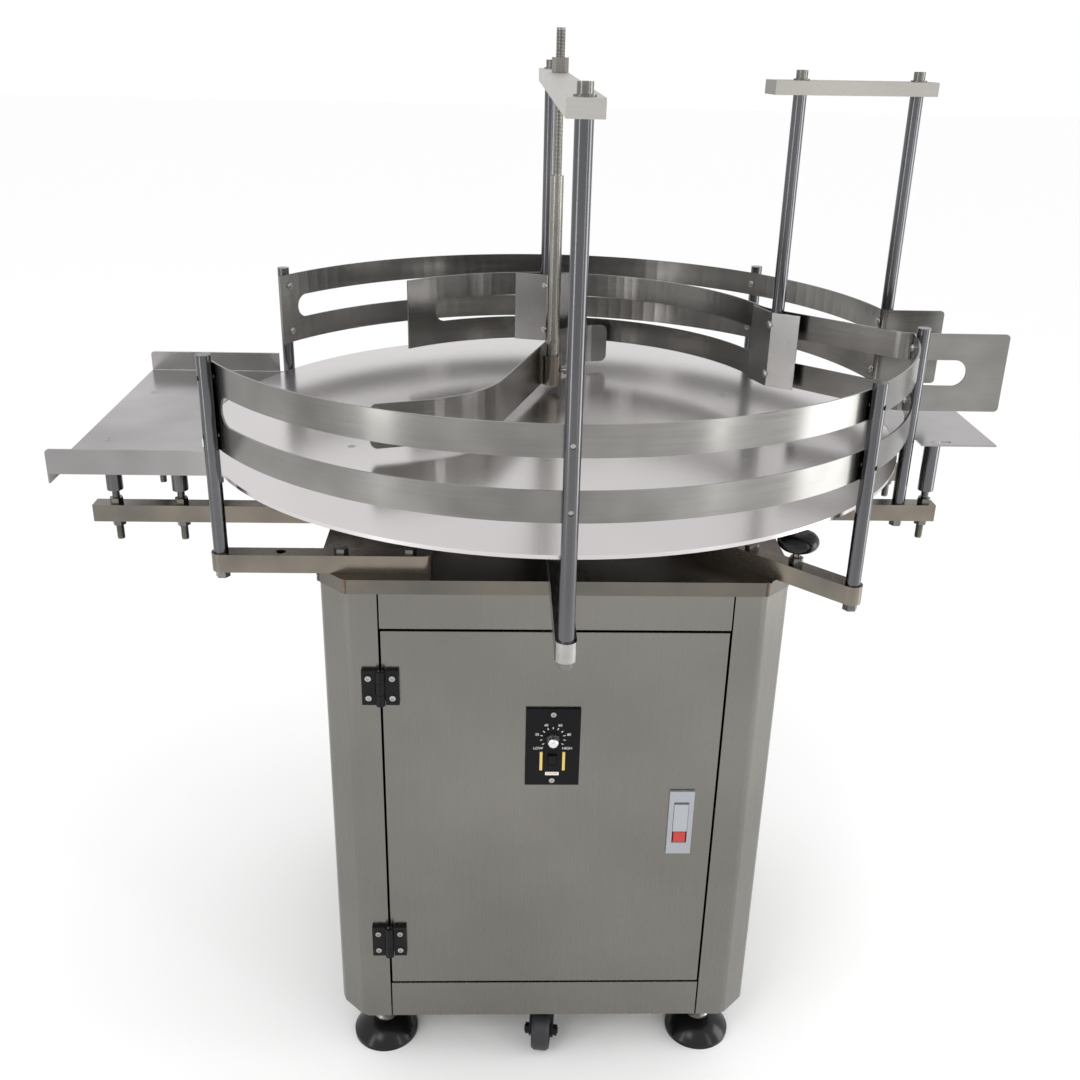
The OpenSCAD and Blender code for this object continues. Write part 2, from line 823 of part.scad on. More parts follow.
// Latch paddle with its pivot pin
module latch_paddle() {
    color("#a9abae")
        translate([latch_x, 0, latch_z]) {
            translate([-pocket_w / 2 + clear, paddle_front, -paddle_low])
                cube([pocket_w - 2 * clear, paddle_t, paddle_low + paddle_axis + paddle_over]);
            flat_round([0, paddle_y], 0, -paddle_pin_len / 2, paddle_pin_len / 2, paddle_axis, paddle_pin_r);
        }
}

// Red release button
module latch_button() {
    button_w = pocket_w - 3;
    color("#c22a20")
        translate([latch_x - button_w / 2, paddle_front, latch_z - button_low])
            cube([button_w, latch_plate_t + 5, button_low - button_high]);
}

// Latch tongue behind the door
module latch_tongue() {
    color("#7c7e81")
        translate([door_half + tongue_reach - tongue_len, latch_back + clear, latch_z - tongue_h / 2])
            cube([tongue_len, tongue_t, tongue_h]);
}

// Levelling feet: domed pads on studs, with a nut below and above the bottom plate
module levelling_feet() {
    color("#1d1e20")
        for (p = foot_places) {
            intersection() {
                round_at(p, 0, foot_r, foot_dome);
                translate([p[0], p[1], foot_dome - foot_sphere])
                    sphere(r = foot_sphere, $fn = 128);
            }
            round_at(p, foot_dome - 1, foot_stud_r, base_z + foot_stud_over - foot_dome + 1);
        }
    color("#a8a9aa")
        for (p = foot_places)
            for (z = [base_z - foot_nut_h, base_z + sheet])
                nut_at(p, z, foot_nut_r, foot_nut_h, foot_stud_r + nut_fit);
}

// Caster top plates with their king pins
module caster_plates() {
    color("#3a3a3b")
        for (c = casters) {
            translate([c[0][0] - caster_plate_w / 2, c[0][1] - caster_plate_w / 2, base_z - caster_plate_t])
                cube([caster_plate_w, caster_plate_w, caster_plate_t]);
            round_at(c[0], crown_low - clear, king_pin_r, base_z - caster_plate_t - crown_low + clear);
            round_at(c[0], crown_low - clear - king_head_h, king_head_r, king_head_h);
        }
}

// One caster fork: crown, two cheeks and the axle bolt
module caster_fork(caster) {
    inside = wheel_w / 2 + cheek_gap;
    translate([caster[0][0], caster[0][1], 0])
        rotate([0, 0, caster[1]]) {
            color("#202022") {
                difference() {
                    union() {
                        translate([0, 0, crown_low])
                            cylinder(r = crown_r, h = crown_h);
                        for (s = [-1, 1])
                            translate([0, s * (inside + cheek_t / 2) + cheek_t / 2, 0])
                                rotate([90, 0, 0])
                                    linear_extrude(cheek_t)
                                        polygon([[-cheek_back, crown_low + 1], [cheek_front, crown_low + 1],
                                            [trail + cheek_ear, axle_z],
                                            [trail + cheek_ear / 2, axle_z - cheek_foot],
                                            [trail - cheek_ear / 2, axle_z - cheek_foot],
                                            [trail - cheek_ear, axle_z]]);
                    }
                    translate([0, 0, crown_low - 1])
                        cylinder(r = king_pin_r + running, h = crown_h + 2);
                    flat_round([trail, 0], 90, -inside - cheek_t - 1, inside + cheek_t + 1, axle_z,
                        axle_r + nut_fit);
                }
            }
            color("#b9babb") {
                flat_round([trail, 0], 90, -inside - cheek_t - axle_over, inside + cheek_t + axle_over,
                    axle_z, axle_r);
                for (s = [0, 1])
                    mirror([0, s, 0])
                        translate([trail, inside + cheek_t, axle_z])
                            rotate([-90, 0, 0])
                                difference() {
                                    cylinder(r = axle_nut_r, h = axle_nut_h, $fn = 6);
                                    translate([0, 0, -1])
                                        cylinder(r = axle_r + nut_fit, h = axle_nut_h + 2);
                                }
            }
        }
}

// One caster wheel
module caster_wheel(caster) {
    hub = wheel_w / 2 + cheek_gap - hub_gap;
    side = wheel_w / 2;
    web = side - web_inset;
    web_r = wheel_r - rim_t;
    rim_r = web_r + rim_edge;
    edge_r = wheel_r - tread_drop;
    tread = side - tread_side;
    color("#55565a")
        translate([caster[0][0], caster[0][1], axle_z])
            rotate([0, 0, caster[1]])
                translate([trail, 0, 0])
                    rotate([90, 0, 0])
                        rotate_extrude()
                            polygon([[axle_r + running, -hub], [hub_face_r, -hub], [hub_face_r, -web],
                                [web_r, -web], [rim_r, -side], [edge_r, -side], [wheel_r, -tread],
                                [wheel_r, tread], [edge_r, side], [rim_r, side], [web_r, web],
                                [hub_face_r, web], [hub_face_r, hub], [axle_r + running, hub]]);
}

module caster_fork_front() { caster_fork(caster_front); }
module caster_fork_rear() { caster_fork(caster_rear); }
module caster_fork_left() { caster_fork(caster_left); }
module caster_fork_right() { caster_fork(caster_right); }
module caster_wheel_front() { caster_wheel(caster_front); }
module caster_wheel_rear() { caster_wheel(caster_rear); }
module caster_wheel_left() { caster_wheel(caster_left); }
module caster_wheel_right() { caster_wheel(caster_right); }

// One arm: a square bar with round ends and its holes
module arm(a) {
    translate([a[0][0], a[0][1], cap_top])
        rotate([0, 0, a[1]])
            difference() {
                union() {
                    translate([0, -arm_size / 2, 0])
                        cube([a[2], arm_size, arm_size]);
                    translate([a[2], 0, 0])
                        cylinder(r = arm_size / 2, h = arm_size);
                    if (a[3])
                        cylinder(r = arm_size / 2, h = arm_size);
                }
                for (x = concat(a[4], a[5], a[6]))
                    translate([x, 0, -1])
                        cylinder(r = bolt_hole, h = arm_size + 2);
                for (x = a[7])
                    translate([x, 0, -1])
                        cylinder(r = tapped_hole, h = arm_size + 2);
            }
}

// Every arm of a list
module arms(list) {
    color("#8f8a7c")
        for (a = list)
            arm(a);
}

module arm_front() { arms(front_arm_list); }
module arms_left() { arms(left_arm_list); }
module arms_infeed() { arms(infeed_arm_list); }
module arms_diagonal() { arms(diagonal_arm_list); }
module arms_exit() { arms(exit_arm_list); }

// Hexagon bolts that hold the arms on the cap, and the studs and nuts of the rest pads
module arm_bolts() {
    bolt_tail = 4;
    color("#a7a8a9") {
        for (p = cap_bolts) {
            round_at(p, shell_top - bolt_tail, post_bolt_r, arm_top - shell_top + bolt_tail + 1);
            translate([p[0], p[1], arm_top])
                cylinder(r = bolt_head_r, h = cap_head_h, $fn = 6);
        }
        for (p = pad_places) {
            round_at(p, cap_top, post_bolt_r, pad_z - cap_top);
            nut_at(p, arm_top, bolt_head_r, bolt_head_h, post_bolt_r + nut_fit);
        }
    }
}

// Rest pads on the studs of the diagonal arms: a round rubber body with a flat foot and a flat top
module rest_pads() {
    color("#151516")
        for (p = pad_places)
            translate([p[0], p[1], pad_z])
                rotate_extrude()
                    intersection() {
                        translate([0, pad_h / 2])
                            scale([1, pad_h / 2 / (pad_r - pad_foot_r)])
                                union() {
                                    translate([pad_foot_r, 0])
                                        circle(r = pad_r - pad_foot_r);
                                    translate([0, pad_foot_r - pad_r])
                                        square([pad_foot_r, 2 * (pad_r - pad_foot_r)]);
                                }
                        square([pad_r, pad_h]);
                    }
}

// One round post with the screw holes of its rail and a tapped hole at each end that takes a bolt
module post(place, low, high, heading, screw_from, screw_to, ends) {
    difference() {
        round_at(place, low, post_d / 2, high - low);
        for (z = screw_heights)
            flat_round(place, heading, screw_from, screw_to, z, plate_screw_r + 0.1);
        for (e = ends)
            round_at(place, e - post_tap, post_bolt_r + nut_fit, 2 * post_tap);
    }
}

// Short posts round the rails
module short_posts() {
    color("#a5a8ad")
        for (a = short_post_angles)
            post(polar(post_r, a), arm_top, post_top, a, -post_d, post_d, [arm_top]);
}

// Tall front post under the long bar
module post_front() {
    color("#a5a8ad")
        post(front_post, arm_top, bar_z, -90, -post_d, post_d, [arm_top, bar_z]);
}

// Tall post beside the exit, under the lane bar
module post_exit() {
    color("#a5a8ad")
        post(exit_posts[1], arm_top, bar_z, exit_angle, -post_d, post_d, [arm_top, bar_z]);
}

// Posts that hang from the bars and hold the lane rail
module hanging_posts() {
    color("#a5a8ad") {
        for (g = guard_places) {
            lane_dir = g[0][0] == 0 ? 90 : 90 - lane_slope;
            difference() {
                post(g[0], rail_z, bar_z, lane_dir, screw_core, post_d, [bar_z]);
                for (z = screw_heights)
                    flat_round(g[0], guard_screw_dir(g[1]), screw_core, post_d, z, plate_screw_r + 0.1);
            }
        }
    }
}

// Direction from a hanging post to the screws of its guard
function guard_screw_dir(opening) = opening + guard_half + 90;

// Bolts under the arms and on the bars
module post_bolts() {
    color("#8f9092") {
        for (a = concat(short_post_angles, [-90, exit_angle])) {
            round_at(polar(post_r, a), cap_top - 1, post_bolt_r, arm_size + 21);
            translate([post_r * cos(a), post_r * sin(a), cap_top - bolt_head_h])
                cylinder(r = bolt_head_r, h = bolt_head_h, $fn = 6);
        }
        for (p = [front_post, exit_posts[1], bridge_post, lane_post]) {
            round_at(p, bar_z - 20, post_bolt_r, bar_t + 21);
            round_at(p, bar_top, 9, 1.6);
            difference() {
                round_at(p, bar_top + 1.6, 6.5, 9);
                translate([p[0], p[1], bar_top + 6])
                    cylinder(r = 3.6, h = 6, $fn = 6);
            }
        }
    }
}

// Slot along an outer rail, with round ends
module rail_slot(from, to) {
    step = slot_r / rail_mid * 180 / PI;
    arc_strip(rail_mid, from + step, to - step, rail_t + 2, slot_low, slot_high - slot_low);
    for (a = [from + step, to - step])
        flat_round([0, 0], a, rail_r - 2, rail_r + rail_t + 2, slot_z, slot_r);
}

// Screw holes of an outer rail at its posts
module rail_holes(angles) {
    for (a = angles)
        for (z = screw_heights)
            flat_round([0, 0], a, rail_r - 2, rail_r + rail_t + 2, z, plate_screw_r + 0.1);
}

// Front rail from the left post round the front to the exit post
module front_rail() {
    high = -asin((exit_half - post_d / 2 + 2) / rail_mid);
    color("#9b9993")
        difference() {
            arc_strip(rail_mid, -left_angle - rail_over, high, rail_t, rail_z, rail_h);
            rail_slot(-left_angle + 2, -exit_angle - 3);
            rail_holes([-left_angle, -90, -diagonal_angle, -exit_angle]);
        }
}

// Back rail from the left post round the back, bent round the exit post into a plain end
module back_rail() {
    color("#9b9993")
        difference() {
            strip(back_side(rail_t / 2), back_side(-rail_t / 2), rail_z, rail_h);
            rail_slot(exit_angle + 3, left_angle - 2);
            rail_holes([diagonal_angle, left_angle]);
            end_corners([back_exit, exit_posts[1][1] - wrap_r], 0, rail_corner, [rail_z, rail_top], rail_t);
            for (z = screw_heights)
                flat_round(exit_posts[1], 180 + exit_angle, 0, post_d, z, plate_screw_r + 0.1);
        }
}

// Lane rail: one strip with a long slot, from the back of the disc out through the exit
module lane_rail() {
    color("#9d9b95")
        difference() {
            strip(lane_side(rail_t / 2, lane_end_angle, lane_exit),
                lane_side(-rail_t / 2, lane_end_angle, lane_exit), rail_z, rail_h);
            strip(lane_side(rail_t, lane_slot_angle, lane_slot_end),
                lane_side(-rail_t, lane_slot_angle, lane_slot_end), slot_low, slot_high - slot_low);
            flat_round([0, 0], lane_slot_angle, lane_r - 2, lane_r + rail_t + 2, slot_z, slot_r);
            flat_round([lane_slot_end, lane_y], 90, -rail_t - 2, rail_t + 2, slot_z, slot_r);
            end_corners([lane_exit, lane_y], 0, rail_corner, [rail_z, rail_top], rail_t);
            for (z = screw_heights) {
                flat_round([0, 0], 90, lane_r - 2, lane_r + rail_t + 2, z, plate_screw_r + 0.1);
                flat_round(lane_post, 90 - lane_slope, 0, post_d, z, plate_screw_r + 0.1);
            }
        }
}

// One button screw: head on a sheet face and shank through it
module button_screw(place, heading, face, len, z) {
    flat_round(place, heading, face - 1, face + len, z, plate_screw_r);
    translate([place[0], place[1], z])
        rotate([0, 0, heading])
            translate([face, 0, 0])
                rotate([0, -90, 0])
                    rotate_extrude()
                        polygon([[0, 0], [4.6, 0], [4.2, 1.6], [2.6, 2.8], [0, 3]]);
}

// Screws of rails and guards
module rail_screws() {
    shank = rail_t + post_d - screw_core;
    short_shank = post_d / 2 - screw_core - clear;
    guard_face = hang_gap + guard_gap + guard_t;
    color("#b5b6b8")
        for (z = screw_heights) {
            for (a = concat(short_post_angles, [-90, exit_angle]))
                button_screw([0, 0], a, rail_r - screw_seat, shank, z);
            button_screw(bridge_post, -90, -hang_gap - rail_t, short_shank + rail_t, z);
            button_screw(lane_post, -90 - lane_slope, -hang_gap - rail_t, short_shank + rail_t, z);
            for (g = guard_places)
                button_screw(g[0], guard_screw_dir(g[1]) + 180, -guard_face, short_shank + guard_t, z);
        }
}

// Outline of one bent guard, nested round a hanging post
function guard_outline(place, opening) =
    let (nose = place - polar((hang_gap + guard_gap) / sin(guard_half), opening),
        long_end = nose + polar(guard_long, opening + guard_half),
        short_end = nose + polar(guard_short, opening - guard_half))
    [nose - polar(guard_t / sin(guard_half), opening),
        long_end + polar(guard_t, opening + guard_half + 90), long_end, nose, short_end,
        short_end + polar(guard_t, opening - guard_half - 90)];

// One bent guard with its screw holes
module post_guard(place, opening) {
    difference() {
        translate([0, 0, rail_z])
            linear_extrude(rail_h)
                polygon(guard_outline(place, opening));
        for (z = screw_heights)
            flat_round(place, guard_screw_dir(opening), 0, post_d, z, plate_screw_r + 0.1);
    }
}

// Guards in front of the hanging posts
module post_guards() {
    color("#a19f99")
        for (g = guard_places)
            post_guard(g[0], g[1]);
}

// One flat bar across two posts
module bar(from, to, over_from, over_to, extra) {
    run = to - from;
    difference() {
        translate([from[0], from[1], bar_z])
            rotate([0, 0, atan2(run[1], run[0])])
                translate([-over_from, -bar_w / 2, 0])
                    cube([norm(run) + over_from + over_to, bar_w, bar_t]);
        for (p = [from, to])
            round_at(p, bar_z - 1, post_bolt_r + nut_fit, bar_t + 2);
        for (p = extra)
            round_at(p, bar_z - 1, rod_d / 2 + running, bar_t + 2);
    }
}

// Long bar over the disc
module bridge_bar() {
    color("#d8d9d8")
        bar(front_post, bridge_post, bar_over, bar_over, [rod_place]);
}

// Short bar over the exit lane
module lane_bar() {
    color("#d8d9d8")
        bar(lane_post, exit_posts[1], lane_bar_over, bar_over, []);
}

// Threaded rod with two lock nuts on the bar, and the sleeve that it carries
module diverter_rod() {
    color("#a6a49c") {
        round_at(rod_place, sleeve_top - rod_in_sleeve, rod_d / 2,
            bar_top + rod_over - sleeve_top + rod_in_sleeve);
        for (i = [0, 1])
            nut_at(rod_place, bar_top + stop_gap + i * lock_nut_h, lock_nut_r, lock_nut_h,
                rod_d / 2 + nut_fit);
        difference() {
            round_at(rod_place, collar_z - 2, sleeve_d / 2, sleeve_top - collar_z + 2);
            round_at(rod_place, sleeve_top - rod_in_sleeve, rod_d / 2 + nut_fit, rod_in_sleeve + 1);
        }
    }
}

// Collar with a flat lug for the band, and its set screw
module diverter_collar() {
    color("#8f8d86")
        translate([rod_x, rod_y, collar_z])
            rotate([0, 0, guide_heading]) {
                difference() {
                    union() {
                        cylinder(r = collar_d / 2, h = collar_h);
                        translate([-collar_d / 4, 0, 0])
                            cube([collar_d / 2, guide_off - guide_t / 2, collar_h]);
                    }
                    translate([0, 0, -1])
                        cylinder(r = sleeve_d / 2 + running, h = collar_h + 2);
                    flat_round([0, 0], -90, 0, collar_d, collar_h / 2, 2.5 + nut_fit);
                }
                flat_round([0, 0], -90, sleeve_d / 2 + clear, collar_d / 2 + 4, collar_h / 2, 2.5);
                flat_round([0, 0], -90, collar_d / 2 + 4, collar_d / 2 + 8, collar_h / 2, 4.5);
            }
}

// Diverter band beside the collar: two bends with straights between and past them, and rounded ends
module diverter_guide() {
    color("#a09e98")
        translate([rod_x, rod_y, collar_z])
            rotate([0, 0, guide_heading])
                difference() {
                    strip(guide_side(guide_t / 2), guide_side(-guide_t / 2), 0, guide_h);
                    end_corners(guide_front_end, 180 - guide_front_turn, guide_corner, [0, guide_h], guide_t);
                    end_corners(guide_back_end, -guide_back_turn, guide_corner, [0, guide_h], guide_t);
                }
}

// Infeed plate with two side walls and a lip
module infeed_plate() {
    wall_len = infeed_end + left_posts[0][0] - post_d / 2;
    color("#b5b1ad")
        difference() {
            union() {
                translate([-infeed_end, -infeed_half, plate_under])
                    cube([infeed_end, 2 * infeed_half, plate_t]);
                for (y = [-infeed_half, infeed_half - plate_t])
                    translate([-infeed_end, y, plate_under])
                        cube([wall_len, plate_t, wall_h + plate_t]);
                translate([-infeed_end, -infeed_half, plate_under - lip_h])
                    cube([plate_t, 2 * infeed_half, lip_h]);
            }
            round_at([0, 0], plate_under - 1, disc_r + plate_gap, plate_t + 2);
            for (p = standoffs)
                round_at(p, plate_under - 1, plate_screw_r, plate_t + 2);
            for (y = [plate_t / 2 - infeed_half, infeed_half - plate_t / 2])
                end_corners([-infeed_end, y], 180, wall_corner, [plate_top + wall_h], plate_t);
        }
}

// Outfeed plate with notches for the exit posts and a short slot beside each screw
module outfeed_plate() {
    slot_from = outfeed_rod + 10;
    slot_len = 8;
    notch_x = exit_x + post_d / 2 + 6;
    notch_y = exit_half - post_d / 2 - 6;
    color("#b5b1ad")
        difference() {
            translate([0, -outfeed_half, plate_under])
                cube([outfeed_end, 2 * outfeed_half, plate_t]);
            round_at([0, 0], plate_under - 1, disc_r + plate_gap, plate_t + 2);
            for (s = [0, 1])
                mirror([0, s, 0])
                    translate([0, notch_y, plate_under - 1])
                        cube([notch_x, outfeed_half, plate_t + 2]);
            for (s = [-1, 1]) {
                for (x = [slot_from, slot_from + slot_len])
                    round_at([x, s * exit_half], plate_under - 1, plate_screw_r, plate_t + 2);
                translate([slot_from, s * exit_half - plate_screw_r + slot_ease, plate_under - 1])
                    cube([slot_len, 2 * (plate_screw_r - slot_ease), plate_t + 2]);
            }
            for (p = standoffs)
                round_at(p, plate_under - 1, plate_screw_r, plate_t + 2);
        }
}

// Sleeves that carry the transfer plates
module standoff_sleeves() {
    color("#8d8c88")
        for (p = standoffs)
            difference() {
                round_at(p, arm_top + standoff_lift, standoff_d / 2, plate_under - arm_top - standoff_lift);
                round_at(p, arm_top + standoff_lift - 1, standoff_rod_r + nut_fit, 21);
            }
}

// Threaded rods of the standoffs, each with a nut on and under its arm
module standoff_rods() {
    color("#a7a8a9")
        for (p = standoffs) {
            round_at(p, cap_top - standoff_tail, standoff_rod_r,
                arm_size + standoff_tail + standoff_lift + 18);
            for (z = [arm_top, cap_top - standoff_nut_h])
                nut_at(p, z, standoff_nut_r, standoff_nut_h, standoff_rod_r + nut_fit);
        }
}

// Turntable disc
module turntable_disc() {
    color("#c9c4c2")
        round_at([0, 0], disc_under, disc_r, disc_t, $fn = 240);
}

// Six-armed spider with its hub
module turntable_spider() {
    color("#5b5c5e")
        difference() {
            union() {
                for (i = [0 : spider_arms - 1])
                    rotate([0, 0, spider_offset + i * 360 / spider_arms])
                        translate([hub_flange_r - spider_lap, -spider_arm_w / 2, disc_under - spider_t])
                            cube([spider_r - hub_flange_r + spider_lap, spider_arm_w, spider_t]);
                round_at([0, 0], disc_under - hub_flange_t, hub_flange_r, hub_flange_t);
                round_at([0, 0], hub_z, hub_r, disc_under - hub_flange_t - hub_z + 1);
            }
            round_at([0, 0], hub_z - 1, shaft_d / 2 + nut_fit, disc_under - hub_z + 2);
        }
}

// Turntable shaft with the bearing ring that runs in the housing
module turntable_shaft() {
    shaft_low = coupling_z + nut_fit;
    color("#9c9da0") {
        round_at([0, 0], shaft_low, shaft_d / 2, disc_under - 1 - shaft_low);
        difference() {
            round_at([0, 0], cap_top + 4, bearing_ring_r, bearing_ring_h);
            round_at([0, 0], cap_top, shaft_d / 2 + nut_fit, bearing_h);
        }
    }
}

// Flange bearing housing on the cap
module bearing_housing() {
    color("#4b5560")
        difference() {
            union() {
                translate([-bearing_base, -bearing_base, cap_top])
                    cube([2 * bearing_base, 2 * bearing_base, bearing_base_h]);
                round_at([0, 0], cap_top, bearing_boss_r, bearing_h);
            }
            round_at([0, 0], cap_top - 1, bearing_ring_r + running, bearing_h + 2);
            for (x = [-1, 1])
                for (y = [-1, 1])
                    round_at([x * (bearing_base - 12), y * (bearing_base - 12)], cap_top - 1, 5,
                        bearing_base_h + 2);
        }
}

// Rigid coupling between turntable shaft and gearhead shaft
module shaft_coupling() {
    color("#8c8e91")
        difference() {
            round_at([0, 0], coupling_z - coupling_half, coupling_r, 2 * coupling_half);
            round_at([0, 0], coupling_z, shaft_d / 2 + nut_fit, coupling_half + 1);
            round_at([0, 0], coupling_z - coupling_half - 1, output_d / 2 + nut_fit, coupling_half + 2);
        }
}

// Output shaft of the gearhead
module gearhead_shaft() {
    low = hanger_z + gearhead_boss_h - output_depth + 1;
    color("#9c9da0")
        round_at([0, 0], low, output_d / 2, coupling_z - low);
}

// Gearhead under the hanger plate
module gearhead() {
    color("#6b6d70")
        difference() {
            union() {
                translate([-motor_w / 2, -motor_w / 2, hanger_z - gearhead_h])
                    cube([motor_w, motor_w, gearhead_h]);
                round_at([0, 0], hanger_z - 1, gearhead_boss_r, gearhead_boss_h + 1);
            }
            round_at([0, 0], hanger_z + gearhead_boss_h - output_depth, output_d / 2 + running,
                output_depth + 1);
        }
}

// Motor under the gearhead, with cooling ribs and an end bell
module motor() {
    low = hanger_z - gearhead_h - motor_h;
    bell = 26;
    ribs = 6;
    pitch = (motor_h - bell) / ribs;
    color("#77797c") {
        translate([-motor_w / 2 + 3, -motor_w / 2 + 3, low + bell])
            cube([motor_w - 6, motor_w - 6, motor_h - bell]);
        for (i = [0 : ribs - 1])
            translate([-motor_w / 2, -motor_w / 2, low + bell + i * pitch + pitch / 2])
                cube([motor_w, motor_w, pitch / 2]);
        round_at([0, 0], low, motor_w / 2 - 4, bell + 1);
    }
}

// Hanger plate under the cap, on four rods
module motor_hanger() {
    color("#84868a")
        difference() {
            union() {
                translate([-hanger_half, -hanger_half, hanger_z])
                    cube([2 * hanger_half, 2 * hanger_half, hanger_t]);
                for (x = [-1, 1])
                    for (y = [-1, 1])
                        round_at([x * hanger_rod_at, y * hanger_rod_at], hanger_z + 1, hanger_rod_r,
                            hanger_drop - 1);
            }
            round_at([0, 0], hanger_z - 1, gearhead_boss_r + nut_fit, hanger_t + 2);
        }
}

cabinet_shell();
top_cap();
bottom_plate();
front_panels();
door_panel();
hinge_leaves_fixed();
hinge_leaves_door();
hinge_pins();
speed_controller();
speed_knob();
run_switch();
latch_housing();
latch_paddle();
latch_button();
latch_tongue();
levelling_feet();
caster_plates();
caster_fork_front();
caster_fork_rear();
caster_fork_left();
caster_fork_right();
caster_wheel_front();
caster_wheel_rear();
caster_wheel_left();
caster_wheel_right();
arm_front();
arms_left();
arms_infeed();
arms_diagonal();
arms_exit();
arm_bolts();
rest_pads();
short_posts();
post_front();
post_exit();
hanging_posts();
post_bolts();
front_rail();
back_rail();
lane_rail();
rail_screws();
post_guards();
bridge_bar();
lane_bar();
diverter_rod();
diverter_collar();
diverter_guide();
infeed_plate();
outfeed_plate();
standoff_sleeves();
standoff_rods();
turntable_disc();
turntable_spider();
turntable_shaft();
bearing_housing();
shaft_coupling();
gearhead_shaft();
gearhead();
motor();
motor_hanger();
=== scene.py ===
"""Looks of a rotary accumulation table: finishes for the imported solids, small fittings, studio and camera."""

import logging
import math
from dataclasses import dataclass, field
from enum import Enum
from typing import Iterable, Optional, Protocol, Sequence

import bmesh
import bpy
from mathutils import Matrix, Vector


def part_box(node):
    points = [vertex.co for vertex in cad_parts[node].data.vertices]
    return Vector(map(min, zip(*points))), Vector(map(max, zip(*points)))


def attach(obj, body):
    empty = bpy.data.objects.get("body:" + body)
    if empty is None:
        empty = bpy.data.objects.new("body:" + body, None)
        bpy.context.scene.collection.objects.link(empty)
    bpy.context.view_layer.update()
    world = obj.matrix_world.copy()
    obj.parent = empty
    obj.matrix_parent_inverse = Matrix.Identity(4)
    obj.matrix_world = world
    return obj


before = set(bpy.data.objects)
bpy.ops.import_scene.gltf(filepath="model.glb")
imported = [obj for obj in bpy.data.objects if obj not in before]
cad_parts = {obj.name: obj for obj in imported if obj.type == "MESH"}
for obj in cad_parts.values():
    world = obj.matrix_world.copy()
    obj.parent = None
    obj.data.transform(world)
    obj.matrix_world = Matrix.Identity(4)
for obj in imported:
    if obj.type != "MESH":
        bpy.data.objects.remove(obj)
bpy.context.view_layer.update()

log = logging.getLogger("rotary_table")

Colour = tuple[float, float, float]
Point = tuple[float, float, float]
Profile = Sequence[tuple[float, float]]

MM = 0.001
TO_FRONT: Point = (0.0, -1.0, 0.0)
CORNERS: list[tuple[int, int]] = [(sx, sy) for sx in (-1, 1) for sy in (-1, 1)]

# Steps of a turned screw head and of one turn of a thread
SCREW_STEPS = 24
THREAD_STEPS = 12

# Thread ridge in shares of its pitch: rise over the rod, depth of its root, half its width
RIDGE_RISE = 0.3
RIDGE_SINK = 0.1
RIDGE_HALF = 0.42

# Vertices nearer than this become one: first in made meshes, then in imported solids
MERGE_REACH = 1e-7
JOIN_REACH = 0.01 * MM

# Edges sharper than this stay sharp in made pieces
CREASE = math.radians(35)

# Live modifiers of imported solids: angle up to which faces join as flat, steps of a bend, pull of large faces
FLAT_ANGLE = math.radians(0.5)
BEND_STEPS = 5
SHADE_WEIGHT = 100

# Noise detail and ranges of the procedural finishes
GRAIN_DETAIL = 4.0
PATCH_DETAIL = 3.0
PATCH_RANGE = (0.3, 0.7)
STREAK_RANGE = (0.25, 0.75)
LEAST_ROUGHNESS = 0.03


class Grain(Enum):
    """How a surface is worked, which sets the pattern of its shine."""

    BRUSHED_X = "brushed along x"
    BRUSHED_Z = "brushed along z"
    WRAPPED = "brushed round the z axis"
    CAST = "cast or moulded"


STRETCH: dict[Grain, Point] = {
    Grain.BRUSHED_X: (9.0, 420.0, 420.0),
    Grain.BRUSHED_Z: (420.0, 420.0, 9.0),
    Grain.WRAPPED: (14.0, 14.0, 520.0),
    Grain.CAST: (900.0, 900.0, 900.0),
}


